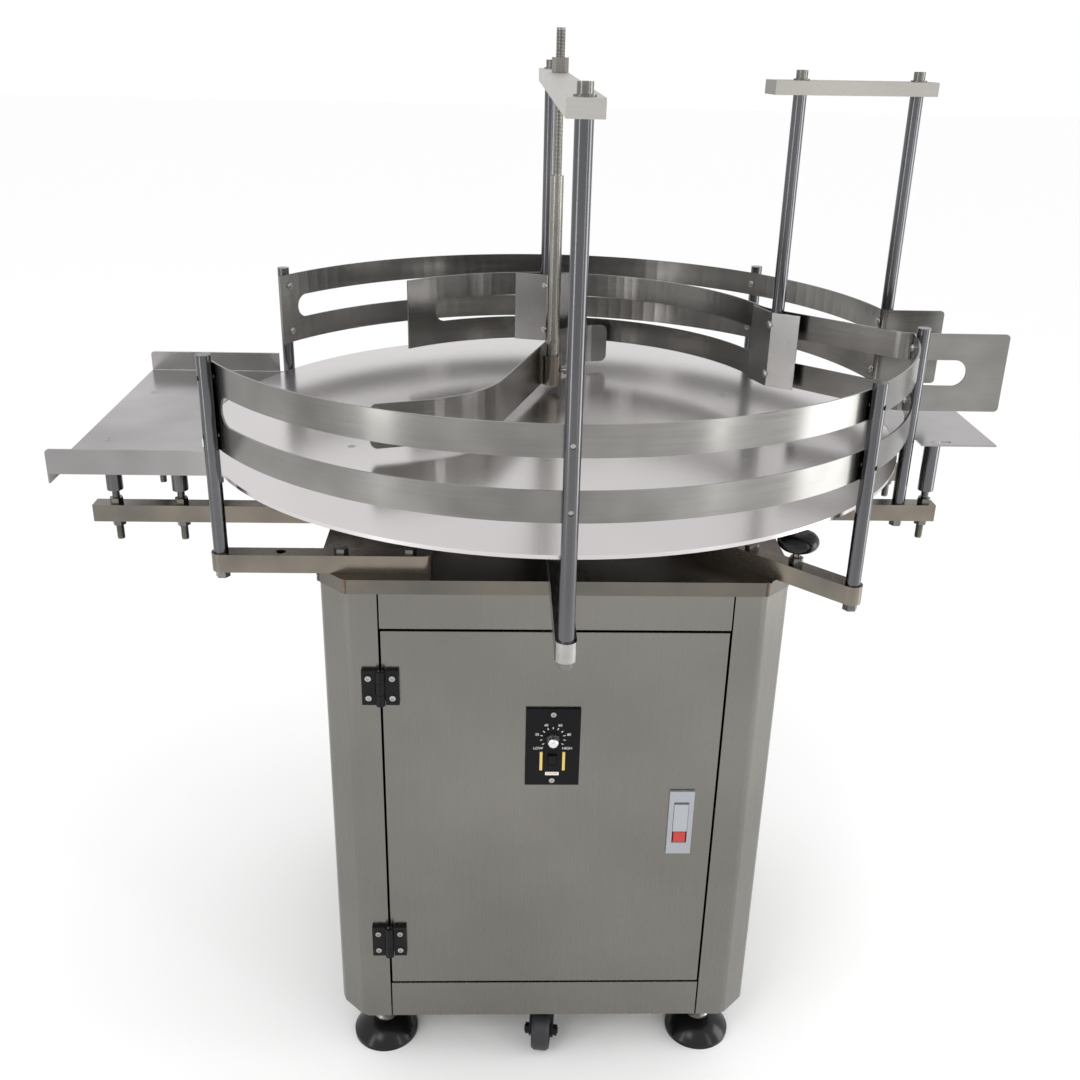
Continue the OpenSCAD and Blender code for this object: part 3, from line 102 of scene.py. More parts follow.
@dataclass(frozen=True)
class Finish:
    """A surface finish that becomes one procedural material.

    Attributes:
        name: Name of the finish, and of its material after the prefix look.
        colour: Linear base colour.
        metallic: 1 for bare metal, 0 for paint, plastic and rubber.
        roughness: Mean roughness.
        grain: How the surface is worked.
        swing: Share by which broad patches are lighter or darker.
        streak: Share by which the grain lines are lighter or darker.
        shine_swing: Swing of the roughness along the grain.
        relief: Depth of the grain in metres.
        patch: Broad patches per metre.
        tint: Colour that broad patches lean to.
        tint_share: Share of that colour in the strongest patches.
        specular: Level of the shine on paint, plastic and rubber.
    """

    name: str
    colour: Colour
    metallic: float
    roughness: float
    grain: Grain
    swing: float = 0.08
    streak: float = 0.06
    shine_swing: float = 0.1
    relief: float = 0.00002
    patch: float = 5.0
    tint: Optional[Colour] = None
    tint_share: float = 0.0
    specular: float = 0.5

    def material(self) -> bpy.types.Material:
        """Gives the material, and makes it on first use.

        Returns:
            The material with this finish's name.
        """
        found = bpy.data.materials.get(f"look_{self.name}")
        return found if found else self._make()

    def _make(self) -> bpy.types.Material:
        """Builds the node tree of the finish.

        Returns:
            The new material.
        """
        material = bpy.data.materials.new(f"look_{self.name}")
        material.use_nodes = True
        tree = material.node_tree
        shader = tree.nodes["Principled BSDF"]
        shader.inputs["Metallic"].default_value = self.metallic
        shader.inputs["Specular IOR Level"].default_value = self.specular
        coords = tree.nodes.new("ShaderNodeTexCoord")
        grain = self._grain(tree, coords)
        patches = tree.nodes.new("ShaderNodeTexNoise")
        patches.inputs["Scale"].default_value = self.patch
        patches.inputs["Detail"].default_value = PATCH_DETAIL
        tree.links.new(coords.outputs["Object"], patches.inputs["Vector"])
        self._paint(tree, shader, grain, patches)
        shine = tree.nodes.new("ShaderNodeMapRange")
        shine.inputs["To Min"].default_value = max(self.roughness - self.shine_swing, LEAST_ROUGHNESS)
        shine.inputs["To Max"].default_value = min(self.roughness + self.shine_swing, 1.0)
        tree.links.new(grain, shine.inputs["Value"])
        tree.links.new(shine.outputs["Result"], shader.inputs["Roughness"])
        bump = tree.nodes.new("ShaderNodeBump")
        bump.inputs["Strength"].default_value = 1.0
        bump.inputs["Distance"].default_value = self.relief
        tree.links.new(grain, bump.inputs["Height"])
        tree.links.new(bump.outputs["Normal"], shader.inputs["Normal"])
        return material

    def _grain(self, tree: bpy.types.NodeTree, coords: bpy.types.Node) -> bpy.types.NodeSocket:
        """Adds the fine pattern.

        Args:
            tree: Node tree of the material.
            coords: Texture coordinate node.

        Returns:
            The socket that carries the pattern from 0 to 1.
        """
        mapping = tree.nodes.new("ShaderNodeMapping")
        mapping.inputs["Scale"].default_value = STRETCH[self.grain]
        noise = tree.nodes.new("ShaderNodeTexNoise")
        noise.inputs["Scale"].default_value = 1.0
        noise.inputs["Detail"].default_value = GRAIN_DETAIL
        tree.links.new(coords.outputs["Object"], mapping.inputs["Vector"])
        tree.links.new(mapping.outputs["Vector"], noise.inputs["Vector"])
        return noise.outputs["Fac"]

    def _paint(self, tree: bpy.types.NodeTree, shader: bpy.types.Node, grain: bpy.types.NodeSocket,
               patches: bpy.types.Node) -> None:
        """Adds the base colour with its patches, streaks and tint.

        Args:
            tree: Node tree of the material.
            shader: Principled shader node.
            grain: Socket of the fine pattern.
            patches: Noise node of the broad patches.
        """
        ramp = tree.nodes.new("ShaderNodeValToRGB")
        low, high = ramp.color_ramp.elements
        low.position, high.position = PATCH_RANGE
        low.color = (*scaled(self.colour, 1 - self.swing), 1.0)
        bright = scaled(self.colour, 1 + self.swing)
        if self.tint:
            bright = tuple(b + (t - b) * self.tint_share for b, t in zip(bright, self.tint))
        high.color = (*bright, 1.0)
        tree.links.new(patches.outputs["Fac"], ramp.inputs["Fac"])
        streaks = tree.nodes.new("ShaderNodeMapRange")
        streaks.inputs["From Min"].default_value = STREAK_RANGE[0]
        streaks.inputs["From Max"].default_value = STREAK_RANGE[1]
        streaks.inputs["To Min"].default_value = 1 - self.streak
        streaks.inputs["To Max"].default_value = 1 + self.streak
        tree.links.new(grain, streaks.inputs["Value"])
        blend = tree.nodes.new("ShaderNodeVectorMath")
        blend.operation = "SCALE"
        tree.links.new(ramp.outputs["Color"], blend.inputs[0])
        tree.links.new(streaks.outputs["Result"], blend.inputs["Scale"])
        tree.links.new(blend.outputs["Vector"], shader.inputs["Base Color"])


def scaled(colour: Colour, share: float) -> Colour:
    """Makes a colour lighter or darker.

    Args:
        colour: Linear colour.
        share: Factor for each channel.

    Returns:
        The colour, kept at 1 or below.
    """
    return tuple(min(c * share, 1.0) for c in colour)


@dataclass(frozen=True)
class Finishes:
    """All finishes of the table."""

    cabinet: Finish = Finish(
        "cabinet_brushed_steel", (0.19, 0.183, 0.166), 1.0, 0.26, Grain.BRUSHED_Z,
        swing=0.09, streak=0.03, relief=0.000008)
    # Same steel as the cabinet, made darker as painted shade from the disc above it; its broad patches lean to
    # brown
    cap: Finish = Finish(
        "cap_steel_painted_shade", (0.14, 0.135, 0.124), 1.0, 0.26, Grain.CAST, swing=0.22, streak=0.02,
        shine_swing=0.03, relief=0.0000005, patch=9.0, tint=(0.20, 0.16, 0.11), tint_share=0.45)
    disc: Finish = Finish(
        "disc_fine_steel", (0.60, 0.568, 0.572), 1.0, 0.2, Grain.CAST,
        swing=0.07, streak=0.015, shine_swing=0.05, relief=0.000001, patch=2.5)
    plate: Finish = Finish(
        "deck_steel", (0.31, 0.298, 0.298), 1.0, 0.2, Grain.CAST,
        swing=0.3, streak=0.02, shine_swing=0.04, relief=0.000001)
    rail: Finish = Finish(
        "rail_brushed_steel", (0.235, 0.23, 0.218), 1.0, 0.23, Grain.WRAPPED,
        swing=0.38, shine_swing=0.05, relief=0.00001, patch=7.0)
    guard: Finish = Finish(
        "guard_brushed_steel", (0.30, 0.297, 0.29), 1.0, 0.26, Grain.CAST,
        swing=0.2, streak=0.02, shine_swing=0.04, relief=0.000002, patch=9.0)
    post: Finish = Finish(
        "post_polished_steel", (0.115, 0.116, 0.122), 1.0, 0.19, Grain.WRAPPED,
        swing=0.15, streak=0.03, shine_swing=0.05, relief=0.000006)
    arm: Finish = Finish(
        "arm_satin_steel", (0.195, 0.183, 0.162), 1.0, 0.26, Grain.CAST, swing=0.28, streak=0.02,
        shine_swing=0.04, relief=0.000002, patch=16.0, tint=(0.225, 0.172, 0.115), tint_share=0.45)
    plated: Finish = Finish(
        "plated_steel", (0.36, 0.35, 0.335), 1.0, 0.25, Grain.CAST, swing=0.15, patch=60.0)
    bolt: Finish = Finish(
        "dark_bolt_steel", (0.17, 0.165, 0.155), 1.0, 0.26, Grain.CAST, swing=0.25, patch=80.0)
    thread: Finish = Finish(
        "threaded_steel", (0.15, 0.145, 0.13), 1.0, 0.26, Grain.CAST, swing=0.2, patch=30.0)
    mast: Finish = Finish(
        "mast_turned_steel", (0.26, 0.25, 0.225), 1.0, 0.26, Grain.CAST, swing=0.15, patch=30.0)
    bar: Finish = Finish(
        "bar_satin_aluminium", (0.45, 0.436, 0.412), 1.0, 0.45, Grain.BRUSHED_X, streak=0.07)
    # Same aluminium as the bridge bar, made darker as painted shade
    lane_bar: Finish = Finish(
        "lane_bar_aluminium_painted_shade", (0.31, 0.298, 0.275), 1.0, 0.42, Grain.BRUSHED_X, streak=0.07)
    black_metal: Finish = Finish(
        "black_enamel", (0.006, 0.006, 0.007), 0.0, 0.4, Grain.CAST,
        swing=0.2, relief=0.00004, specular=0.16)
    black_plastic: Finish = Finish(
        "black_moulding", (0.005, 0.005, 0.006), 0.0, 0.45, Grain.CAST,
        swing=0.2, relief=0.00003, specular=0.12)
    rubber: Finish = Finish(
        "black_rubber", (0.004, 0.004, 0.0045), 0.0, 0.22, Grain.CAST,
        swing=0.25, shine_swing=0.06, relief=0.00001, specular=0.3)
    wheel: Finish = Finish(
        "wheel_rubber", (0.03, 0.031, 0.034), 0.0, 0.45, Grain.CAST,
        swing=0.3, relief=0.00005, specular=0.3)
    latch: Finish = Finish(
        "latch_grey_enamel", (0.33, 0.345, 0.37), 0.2, 0.35, Grain.CAST, swing=0.06)
    paddle: Finish = Finish(
        "paddle_grey_enamel", (0.36, 0.375, 0.40), 0.2, 0.32, Grain.CAST, swing=0.05)
    knob: Finish = Finish(
        "knob_turned_aluminium", (0.70, 0.70, 0.70), 1.0, 0.25, Grain.CAST, swing=0.05)
    red: Finish = Finish("red_moulding", (0.45, 0.03, 0.02), 0.0, 0.32, Grain.CAST)
    yellow: Finish = Finish("yellow_print", (0.62, 0.47, 0.12), 0.0, 0.5, Grain.CAST, swing=0.05)
    white: Finish = Finish("white_print", (0.70, 0.70, 0.64), 0.0, 0.5, Grain.CAST, swing=0.04)
    casting: Finish = Finish(
        "housing_casting", (0.03, 0.037, 0.045), 0.0, 0.5, Grain.CAST,
        swing=0.15, relief=0.0001, specular=0.3)
    motor: Finish = Finish(
        "motor_casting", (0.16, 0.165, 0.17), 0.6, 0.45, Grain.CAST, swing=0.12, relief=0.00008)
    # Steel of the parts under the disc and inside the cabinet, made dark as painted shade
    inner: Finish = Finish(
        "inner_steel_painted_shade", (0.12, 0.12, 0.125), 1.0, 0.4, Grain.CAST, swing=0.12, patch=20.0)
    weld: Finish = Finish(
        "weld_bead", (0.20, 0.175, 0.14), 1.0, 0.34, Grain.CAST,
        swing=0.3, patch=90.0, tint=(0.17, 0.10, 0.045), tint_share=0.6)


FINISH = Finishes()


def dress(finish: Finish, *names: str) -> None:
    """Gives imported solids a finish.

    Args:
        finish: The finish.
        names: Node names.
    """
    for name in names:
        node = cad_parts[name]
        node.data.materials.clear()
        node.data.materials.append(finish.material())
        log.info("dressed %s with %s", name, finish.name)


def soften(width: float, *names: str, angle: float = 40.0, segments: int = 2, bend: float = 0.0) -> None:
    """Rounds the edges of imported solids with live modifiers.

    Args:
        width: Bevel width in metres.
        names: Node names.
        angle: Edges sharper than this are rounded, in degrees.
        segments: Steps in each rounding.
        bend: Bevel width of the edges that are marked as bends, or 0 for none.
    """
    for name in names:
        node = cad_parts[name]
        weld = node.modifiers.new("join", "WELD")
        weld.merge_threshold = JOIN_REACH
        if bend > 0:
            fold = node.modifiers.new("bend", "BEVEL")
            fold.limit_method = "WEIGHT"
            fold.width = bend
            fold.segments = BEND_STEPS
        flat = node.modifiers.new("flat", "DECIMATE")
        flat.decimate_type = "DISSOLVE"
        flat.angle_limit = FLAT_ANGLE
        bevel = node.modifiers.new("edge", "BEVEL")
        bevel.limit_method = "ANGLE"
        bevel.angle_limit = math.radians(angle)
        bevel.width = width
        bevel.segments = segments
        shade = node.modifiers.new("shade", "WEIGHTED_NORMAL")
        shade.weight = SHADE_WEIGHT
        shade.keep_sharp = True


def add_piece(name: str, shape: bmesh.types.BMesh, body: str, finish: Finish,
              smooth: bool = True) -> None:
    """Turns a finished bmesh into a piece that rides on a body.

    Args:
        name: Name of the piece.
        shape: The mesh, with its place in its vertices. It is freed.
        body: Body that carries the piece.
        finish: Finish of the piece.
        smooth: Whether faces are shaded smooth up to the crease.
    """
    bmesh.ops.recalc_face_normals(shape, faces=shape.faces)
    mesh = bpy.data.meshes.new(name)
    for face in shape.faces:
        face.smooth = smooth
    for edge in shape.edges:
        if len(edge.link_faces) == 2 and edge.calc_face_angle(0.0) > CREASE:
            edge.smooth = False
    shape.to_mesh(mesh)
    shape.free()
    piece = bpy.data.objects.new(name, mesh)
    bpy.context.scene.collection.objects.link(piece)
    mesh.materials.append(finish.material())
    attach(piece, body)
    log.info("made %s on %s", name, body)


def facing(place: Point, direction: Point) -> Matrix:
    """Matrix that turns +Z to a direction and moves to a place.

    Args:
        place: Target point.
        direction: Where local +Z shall point.

    Returns:
        The matrix.
    """
    turn = Vector(direction).to_track_quat("Z", "Y").to_matrix().to_4x4()
    return Matrix.Translation(place) @ turn


def lathe_into(shape: bmesh.types.BMesh, profile: Profile, matrix: Matrix,
               steps: int = SCREW_STEPS) -> None:
    """Spins a profile about local Z into an existing mesh.

    Args:
        shape: Mesh that takes the new faces.
        profile: Radius and height pairs, from the axis out and back to it, or closed on itself for a ring.
        matrix: Place and direction of the turned part.
        steps: Steps of the full turn.
    """
    points = [shape.verts.new((r, 0.0, z)) for r, z in profile]
    edges = [shape.edges.new(pair) for pair in zip(points, points[1:])]
    bmesh.ops.spin(shape, geom=points + edges, cent=(0, 0, 0), axis=(0, 0, 1), angle=2 * math.pi,
                   steps=steps, use_merge=True, use_duplicate=False)
    made = connected(points)
    bmesh.ops.remove_doubles(shape, verts=made, dist=MERGE_REACH)
    made = connected([v for v in points if v.is_valid])
    bmesh.ops.transform(shape, matrix=matrix, verts=made)


def connected(seeds: Iterable[bmesh.types.BMVert]) -> list[bmesh.types.BMVert]:
    """Finds every vertex that is joined to the seeds by edges.

    Args:
        seeds: Vertices to start from.

    Returns:
        All joined vertices.
    """
    seen = set(seeds)
    queue = list(seen)
    while queue:
        for edge in queue.pop().link_edges:
            for vert in edge.verts:
                if vert not in seen:
                    seen.add(vert)
                    queue.append(vert)
    return list(seen)


def block_into(shape: bmesh.types.BMesh, size: Point, matrix: Matrix) -> None:
    """Adds a block to a mesh.

    Args:
        shape: Mesh that takes the block.
        size: Length of the three sides.
        matrix: Place and direction of the block's middle.
    """
    made = bmesh.ops.create_cube(shape, size=1.0)["verts"]
    bmesh.ops.scale(shape, vec=size, verts=made)
    bmesh.ops.transform(shape, matrix=matrix, verts=made)


def helix_into(shape: bmesh.types.BMesh, place: Sequence[float], radius: float, pitch: float,
               length: float) -> None:
    """Winds a thread ridge upwards round a rod.

    Args:
        shape: Mesh that takes the ridge.
        place: Foot of the thread on the rod's axis.
        radius: Radius of the rod.
        pitch: Rise of one turn.
        length: Length of the thread.
    """
    turns = int(length / pitch)
    root = radius - RIDGE_SINK * pitch
    crest = radius + RIDGE_RISE * pitch
    half = RIDGE_HALF * pitch
    tooth = [(root, -half), (crest, 0.0), (root, half)]
    verts = [shape.verts.new((place[0] + r, place[1], place[2] + z)) for r, z in tooth]
    face = shape.faces.new(verts)
    bmesh.ops.spin(shape, geom=[face, *face.edges, *verts], cent=place, axis=(0, 0, 1),
                   angle=2 * math.pi * turns, steps=THREAD_STEPS * turns,
                   dvec=(0, 0, pitch / THREAD_STEPS), use_merge=False, use_duplicate=False)
    bmesh.ops.holes_fill(shape, edges=[edge for edge in shape.edges if edge.is_boundary], sides=3)


def socket_profile(radius: float, height: float, socket: float) -> Profile:
    """Profile of a round screw head with a recess.

    Args:
        radius: Radius of the head.
        height: Height of the head.
        socket: Radius of the recess.

    Returns:
        Radius and height pairs.
    """
    soft = 0.18 * height
    shoulder = 0.3 * soft
    recess = 0.45 * height
    return [(0.0, recess), (socket, recess), (socket, height), (radius - soft, height),
            (radius - shoulder, height - shoulder), (radius, height - soft), (radius, 0.0), (0.0, 0.0)]


def countersunk_profile(radius: float) -> Profile:
    """Profile of a countersunk screw head that stands a little proud of its sheet.

    Args:
        radius: Radius of the head.

    Returns:
        Radius and height pairs.
    """
    rise, slope = 0.3 * MM, 0.4 * MM
    socket, socket_rim, socket_floor = 2.0 * MM, 2.2 * MM, 0.05 * MM
    return [(0.0, socket_floor), (socket, socket_floor), (socket_rim, rise), (radius - slope, rise),
            (radius, 0.0), (0.0, 0.0)]


class Assembly(Protocol):
    """A sub-assembly of the scene."""

    def build(self) -> None:
        """Dresses its solids and adds its pieces."""


@dataclass
class Cabinet:
    """Sheet-metal cabinet with its cap, panels and door pan."""

    edge: float = 0.9 * MM
    cap_edge: float = 1.6 * MM
    cap_segments: int = 3
    bend: float = 5.0 * MM
    corner_from: float = 0.2
    corner_reach: float = 0.1 * MM
    cap_cut: float = 31.2 * MM
    bead_r: float = 2.2 * MM
    bead_steps: int = 14
    bead_squash: float = 0.6
    bead_sink: float = 0.62
    ripple: float = 0.2
    ripple_turn: float = 2.4
    sheets: tuple[str, ...] = ("cabinet_shell", "front_panels", "door_panel", "bottom_plate")

    def build(self) -> None:
        """Dresses the sheets and lays the weld beads of the cap."""
        dress(FINISH.cabinet, *self.sheets)
        # The cap's finish carries painted shade from the disc above it
        dress(FINISH.cap, "top_cap")
        self.mark_bends("cabinet_shell")
        self.mark_bends("top_cap")
        soften(self.edge, "front_panels", "door_panel")
        soften(self.edge, "cabinet_shell", bend=self.bend)
        soften(self.cap_edge, "top_cap", segments=self.cap_segments, bend=self.bend)
        self.corner_welds()

    def mark_bends(self, name: str) -> None:
        """Marks the upright outer bends at the cut corners of a sheet.

        Args:
            name: Node of the sheet.
        """
        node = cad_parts[name]
        _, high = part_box(name)
        mark = node.data.attributes.new("bevel_weight_edge", "FLOAT", "EDGE")
        marked = 0
        for edge in node.data.edges:
            a, b = (node.matrix_world @ node.data.vertices[i].co for i in edge.vertices)
            upright = (a.xy - b.xy).length < self.corner_reach
            on_side = abs(abs(a.x) - high.x) < self.corner_reach and abs(a.y) > self.corner_from
            on_face = abs(abs(a.y) - high.y) < self.corner_reach and abs(a.x) > self.corner_from
            if upright and (on_side or on_face):
                mark.data[edge.index].value = 1.0
                marked += 1
        log.info("marked %d bends on %s", marked, name)

    def corner_welds(self) -> None:
        """Lays a rippled bead on the lip at both ends of each cut corner."""
        low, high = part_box("top_cap")
        shape = bmesh.new()
        spots = []
        for sx, sy in CORNERS:
            spots.append((sx * (high.x - self.cap_cut), sy * high.y))
            spots.append((sx * high.x, sy * (high.y - self.cap_cut)))
        step = (high.z - low.z) / self.bead_steps
        for x, y in spots:
            inward = Vector((-x, -y, 0)).normalized() * self.bead_sink * self.bead_r
            for i in range(self.bead_steps):
                radius = self.bead_r * (1 - self.ripple + self.ripple * math.sin(self.ripple_turn * i))
                made = bmesh.ops.create_icosphere(shape, subdivisions=2, radius=radius)["verts"]
                bmesh.ops.scale(shape, vec=(1.0, 1.0, self.bead_squash), verts=made)
                place = Vector((x, y, low.z + (i + 0.5) * step)) + inward
                bmesh.ops.translate(shape, vec=place, verts=made)
        add_piece("cap_weld_beads", shape, "stand", FINISH.weld)


@dataclass
class DoorFittings:
    """Hinges, speed controller and latch on the door."""

    edge: float = 0.8 * MM
    leaf_h: float = 42.0 * MM
    leaf_face: float = -255.2 * MM
    hinge_screw_in: float = 7.2 * MM
    hinge_screw_end: float = 9.0 * MM
    hinge_screw_r: float = 3.4 * MM
    hinge_screw_h: float = 1.6 * MM
    hinge_socket_r: float = 1.7 * MM
    hinge_screw_sink: float = 0.2 * MM
    plate_screw_end: float = 6.5 * MM
    plate_screw_r: float = 3.2 * MM
    plate_screw_h: float = 1.5 * MM
    plate_socket_r: float = 1.3 * MM
    dial_rise: float = 12.0 * MM
    tick_count: int = 11
    tick_r: float = 13.0 * MM
    tick_size: tuple[float, float] = (0.8 * MM, 2.6 * MM)
    sweep: float = 250.0
    number_out: float = 5.2 * MM
    number_h: float = 4.4 * MM
    word_x: float = 16.0 * MM
    word_h: float = 4.6 * MM
    bar_x: float = 12.5 * MM
    bar_size: tuple[float, float] = (3.0 * MM, 24.0 * MM)
    bar_drop: float = 17.7 * MM
    label_drop: float = 34.0 * MM
    label_size: tuple[float, float] = (15.0 * MM, 4.2 * MM)
    label_print_h: float = 3.4 * MM
    print_t: float = 0.12 * MM

    def build(self) -> None:
        """Dresses the fittings and adds screws, scale, bars and label."""
        dress(FINISH.black_metal, "hinge_leaves_fixed", "hinge_leaves_door")
        dress(FINISH.plated, "hinge_pins", "latch_tongue")
        dress(FINISH.black_plastic, "speed_controller", "run_switch")
        dress(FINISH.knob, "speed_knob")
        dress(FINISH.latch, "latch_housing")
        dress(FINISH.paddle, "latch_paddle")
        dress(FINISH.red, "latch_button")
        soften(self.edge, "hinge_leaves_fixed", "hinge_leaves_door", "speed_controller", "latch_housing",
               "latch_paddle", "latch_button", "run_switch")
        self.hinge_screws("hinge_leaves_fixed", "stand")
        self.hinge_screws("hinge_leaves_door", "door")
        self.controller_screws()
        self.controller_scale()
        self.controller_bars()
        self.controller_label()

    def hinge_screws(self, node: str, body: str) -> None:
        """Adds two screws on each leaf of one kind.

        Args:
            node: Hinge leaf node.
            body: Body that carries the leaves.
        """
        low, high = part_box(node)
        x = low.x + self.hinge_screw_in if body == "stand" else high.x - self.hinge_screw_in
        y = self.leaf_face + self.hinge_screw_sink
        profile = socket_profile(self.hinge_screw_r, self.hinge_screw_h, self.hinge_socket_r)
        shape = bmesh.new()
        for base in (low.z, high.z - self.leaf_h):
            for z in (base + self.hinge_screw_end, base + self.leaf_h - self.hinge_screw_end):
                lathe_into(shape, profile, facing((x, y, z), TO_FRONT))
        add_piece(f"{node}_screws", shape, body, FINISH.plated)

    def face(self) -> tuple[float, float, float]:
        """Gives the y of the controller's front face, the height of its middle and half its height."""
        low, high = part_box("speed_controller")
        return low.y, (low.z + high.z) / 2, (high.z - low.z) / 2

    def controller_screws(self) -> None:
        """Adds the two screws at the ends of the controller plate."""
        y, mid, half = self.face()
        profile = socket_profile(self.plate_screw_r, self.plate_screw_h, self.plate_socket_r)
        out = half - self.plate_screw_end
        shape = bmesh.new()
        for z in (mid - out, mid + out):
            lathe_into(shape, profile, facing((0, y, z), TO_FRONT))
        add_piece("controller_screws", shape, "door", FINISH.plated)

    def spoke(self, index: int) -> tuple[float, Vector]:
        """Finds where a tick of the scale stands.

        Args:
            index: Number of the tick, counted from the low end.

        Returns:
            The tick's angle and its direction from the dial's middle.
        """
        angle = math.radians(-self.sweep / 2 + self.sweep * index / (self.tick_count - 1))
        return angle, Vector((math.sin(angle), 0, math.cos(angle)))

    def controller_scale(self) -> None:
        """Prints ticks, plain numbers and the words at both ends round the knob."""
        y, mid, _ = self.face()
        centre = Vector((0, y, mid + self.dial_rise))
        width, length = self.tick_size
        shape = bmesh.new()
        for i in range(self.tick_count):
            angle, out = self.spoke(i)
            place = Matrix.Translation(centre + out * self.tick_r) @ Matrix.Rotation(angle, 4, "Y")
            block_into(shape, (width, self.print_t, length), place)
        for i in range(2, self.tick_count - 1, 2):
            _, out = self.spoke(i)
            place = centre + out * (self.tick_r + self.number_out)
            self.words_into(shape, str(i * 10), place, self.number_h)
        for words, x in (("LOW", -self.word_x), ("HIGH", self.word_x)):
            self.words_into(shape, words, centre + Vector((x, 0, -self.tick_r)), self.word_h)
        add_piece("controller_scale", shape, "door", FINISH.white, smooth=False)

    def words_into(self, shape: bmesh.types.BMesh, words: str, place: Vector, size: float) -> None:
        """Adds a flat number or plain word, upright on the plate.

        Args:
            shape: Mesh that takes the print.
            words: What it shows.
            place: Middle of the print.
            size: Height of the letters.
        """
        curve = bpy.data.curves.new("print", "FONT")
        curve.body = words
        curve.size = size
        curve.align_x = "CENTER"
        curve.align_y = "CENTER"
        curve.extrude = self.print_t / 2
        holder = bpy.data.objects.new("print", curve)
        mesh = bpy.data.meshes.new_from_object(holder)
        mesh.transform(Matrix.Translation(place) @ Matrix.Rotation(math.pi / 2, 4, "X"))
        shape.from_mesh(mesh)
        bpy.data.objects.remove(holder)
        bpy.data.curves.remove(curve)
        bpy.data.meshes.remove(mesh)

    def controller_bars(self) -> None:
        """Adds the two yellow marks beside the switch."""
        y, mid, _ = self.face()
        width, height = self.bar_size
        shape = bmesh.new()
        for side in (-1, 1):
            place = Matrix.Translation((side * self.bar_x, y, mid - self.bar_drop))
            block_into(shape, (width, 2 * self.print_t, height), place)
        add_piece("controller_marks", shape, "door", FINISH.yellow, smooth=False)

    def controller_label(self) -> None:
        """Adds the small pale label with ON and OFF under the switch."""
        y, mid, _ = self.face()
        width, height = self.label_size
        place = Vector((0, y, mid - self.label_drop))
        shape = bmesh.new()
        block_into(shape, (width, 2 * self.print_t, height), Matrix.Translation(place))
        add_piece("controller_label", shape, "door", FINISH.white, smooth=False)
        letters = bmesh.new()
        self.words_into(letters, "ON/OFF", place + Vector((0, -self.print_t, 0)), self.label_print_h)
        add_piece("controller_label_print", letters, "door", FINISH.red, smooth=False)


@dataclass
class Undercarriage:
    """Levelling feet and swivel casters."""

    sides: tuple[str, ...] = ("front", "rear", "left", "right")
    fork_edge: float = 0.6 * MM
    foot_at: float = 0.2
    dome: float = 27.0 * MM
    collar_r: float = 15.0 * MM
    collar_h: float = 5.0 * MM
    collar_bore: float = 6.2 * MM
    collar_slope: float = 3.0 * MM
    collar_sink: float = 0.8 * MM
    collar_steps: int = 32

    def build(self) -> None:
        """Dresses feet and casters, and adds the collars on the feet."""
        dress(FINISH.rubber, "levelling_feet")
        dress(FINISH.black_metal, "caster_plates")
        for side in self.sides:
            dress(FINISH.black_metal, f"caster_fork_{side}")
            dress(FINISH.wheel, f"caster_wheel_{side}")
            soften(self.fork_edge, f"caster_fork_{side}")
        self.foot_collars()

    def foot_collars(self) -> None:
        """Adds the bright collar where each stud enters its foot."""
        bore, radius, height = self.collar_bore, self.collar_r, self.collar_h
        profile = [(bore, 0.0), (radius, 0.0), (radius, 0.5 * height), (radius - self.collar_slope, height),
                   (bore, height), (bore, 0.0)]
        shape = bmesh.new()
        for sx, sy in CORNERS:
            place = (sx * self.foot_at, sy * self.foot_at, self.dome - self.collar_sink)
            lathe_into(shape, profile, Matrix.Translation(place), self.collar_steps)
        add_piece("foot_collars", shape, "stand", FINISH.plated)


@dataclass
class ArmsAndPosts:
    """Square arms, round posts, bars and their bolts."""

    arms: tuple[str, ...] = ("arms_left", "arms_infeed", "arms_diagonal", "arms_exit")
    posts: tuple[str, ...] = ("short_posts", "post_front", "post_exit", "hanging_posts")
    edge: float = 0.8 * MM
    bar_edge: float = 0.9 * MM
    post_angle: float = 60.0

    def build(self) -> None:
        """Dresses arms, posts, bars and bolts."""
        dress(FINISH.arm, *self.arms)
        dress(FINISH.plated, "arm_front", "rail_screws")
        dress(FINISH.post, *self.posts)
        dress(FINISH.bar, "bridge_bar")
        # The lane bar's darker aluminium is painted shade
        dress(FINISH.lane_bar, "lane_bar")
        dress(FINISH.bolt, "arm_bolts", "post_bolts")
        dress(FINISH.rubber, "rest_pads")
        soften(self.edge, "arm_front", *self.arms)
        soften(self.bar_edge, "bridge_bar", "lane_bar")
        soften(self.edge, *self.posts, angle=self.post_angle)


@dataclass
class GuideRails:
    """Slotted rails and bent guards."""

    def build(self) -> None:
        """Dresses the rails and guards."""
        dress(FINISH.rail, "front_rail", "back_rail", "lane_rail")
        dress(FINISH.guard, "post_guards")


@dataclass
class Turntable:
    """Disc, spider, shaft and coupling."""

    screw_r: float = 4.6 * MM
    outer_r: float = 0.25
    inner_r: float = 0.152
    start: float = 26.0
    outer_count: int = 6
    inner_count: int = 3

    def build(self) -> None:
        """Dresses the turning parts and adds the disc screws."""
        dress(FINISH.disc, "turntable_disc")
        # Spider, shafts and coupling under the disc take the steel darkened as painted shade
        dress(FINISH.inner, "turntable_spider", "turntable_shaft", "shaft_coupling", "gearhead_shaft")
        self.disc_screws()

    def disc_screws(self) -> None:
        """Adds countersunk screws on two circles."""
        _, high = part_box("turntable_disc")
        profile = countersunk_profile(self.screw_r)
        shape = bmesh.new()
        for radius, count in ((self.outer_r, self.outer_count), (self.inner_r, self.inner_count)):
            for i in range(count):
                angle = math.radians(self.start + 360.0 * i / count)
                place = (radius * math.cos(angle), radius * math.sin(angle), high.z)
                lathe_into(shape, profile, Matrix.Translation(place))
        add_piece("disc_screws", shape, "turntable", FINISH.plated)


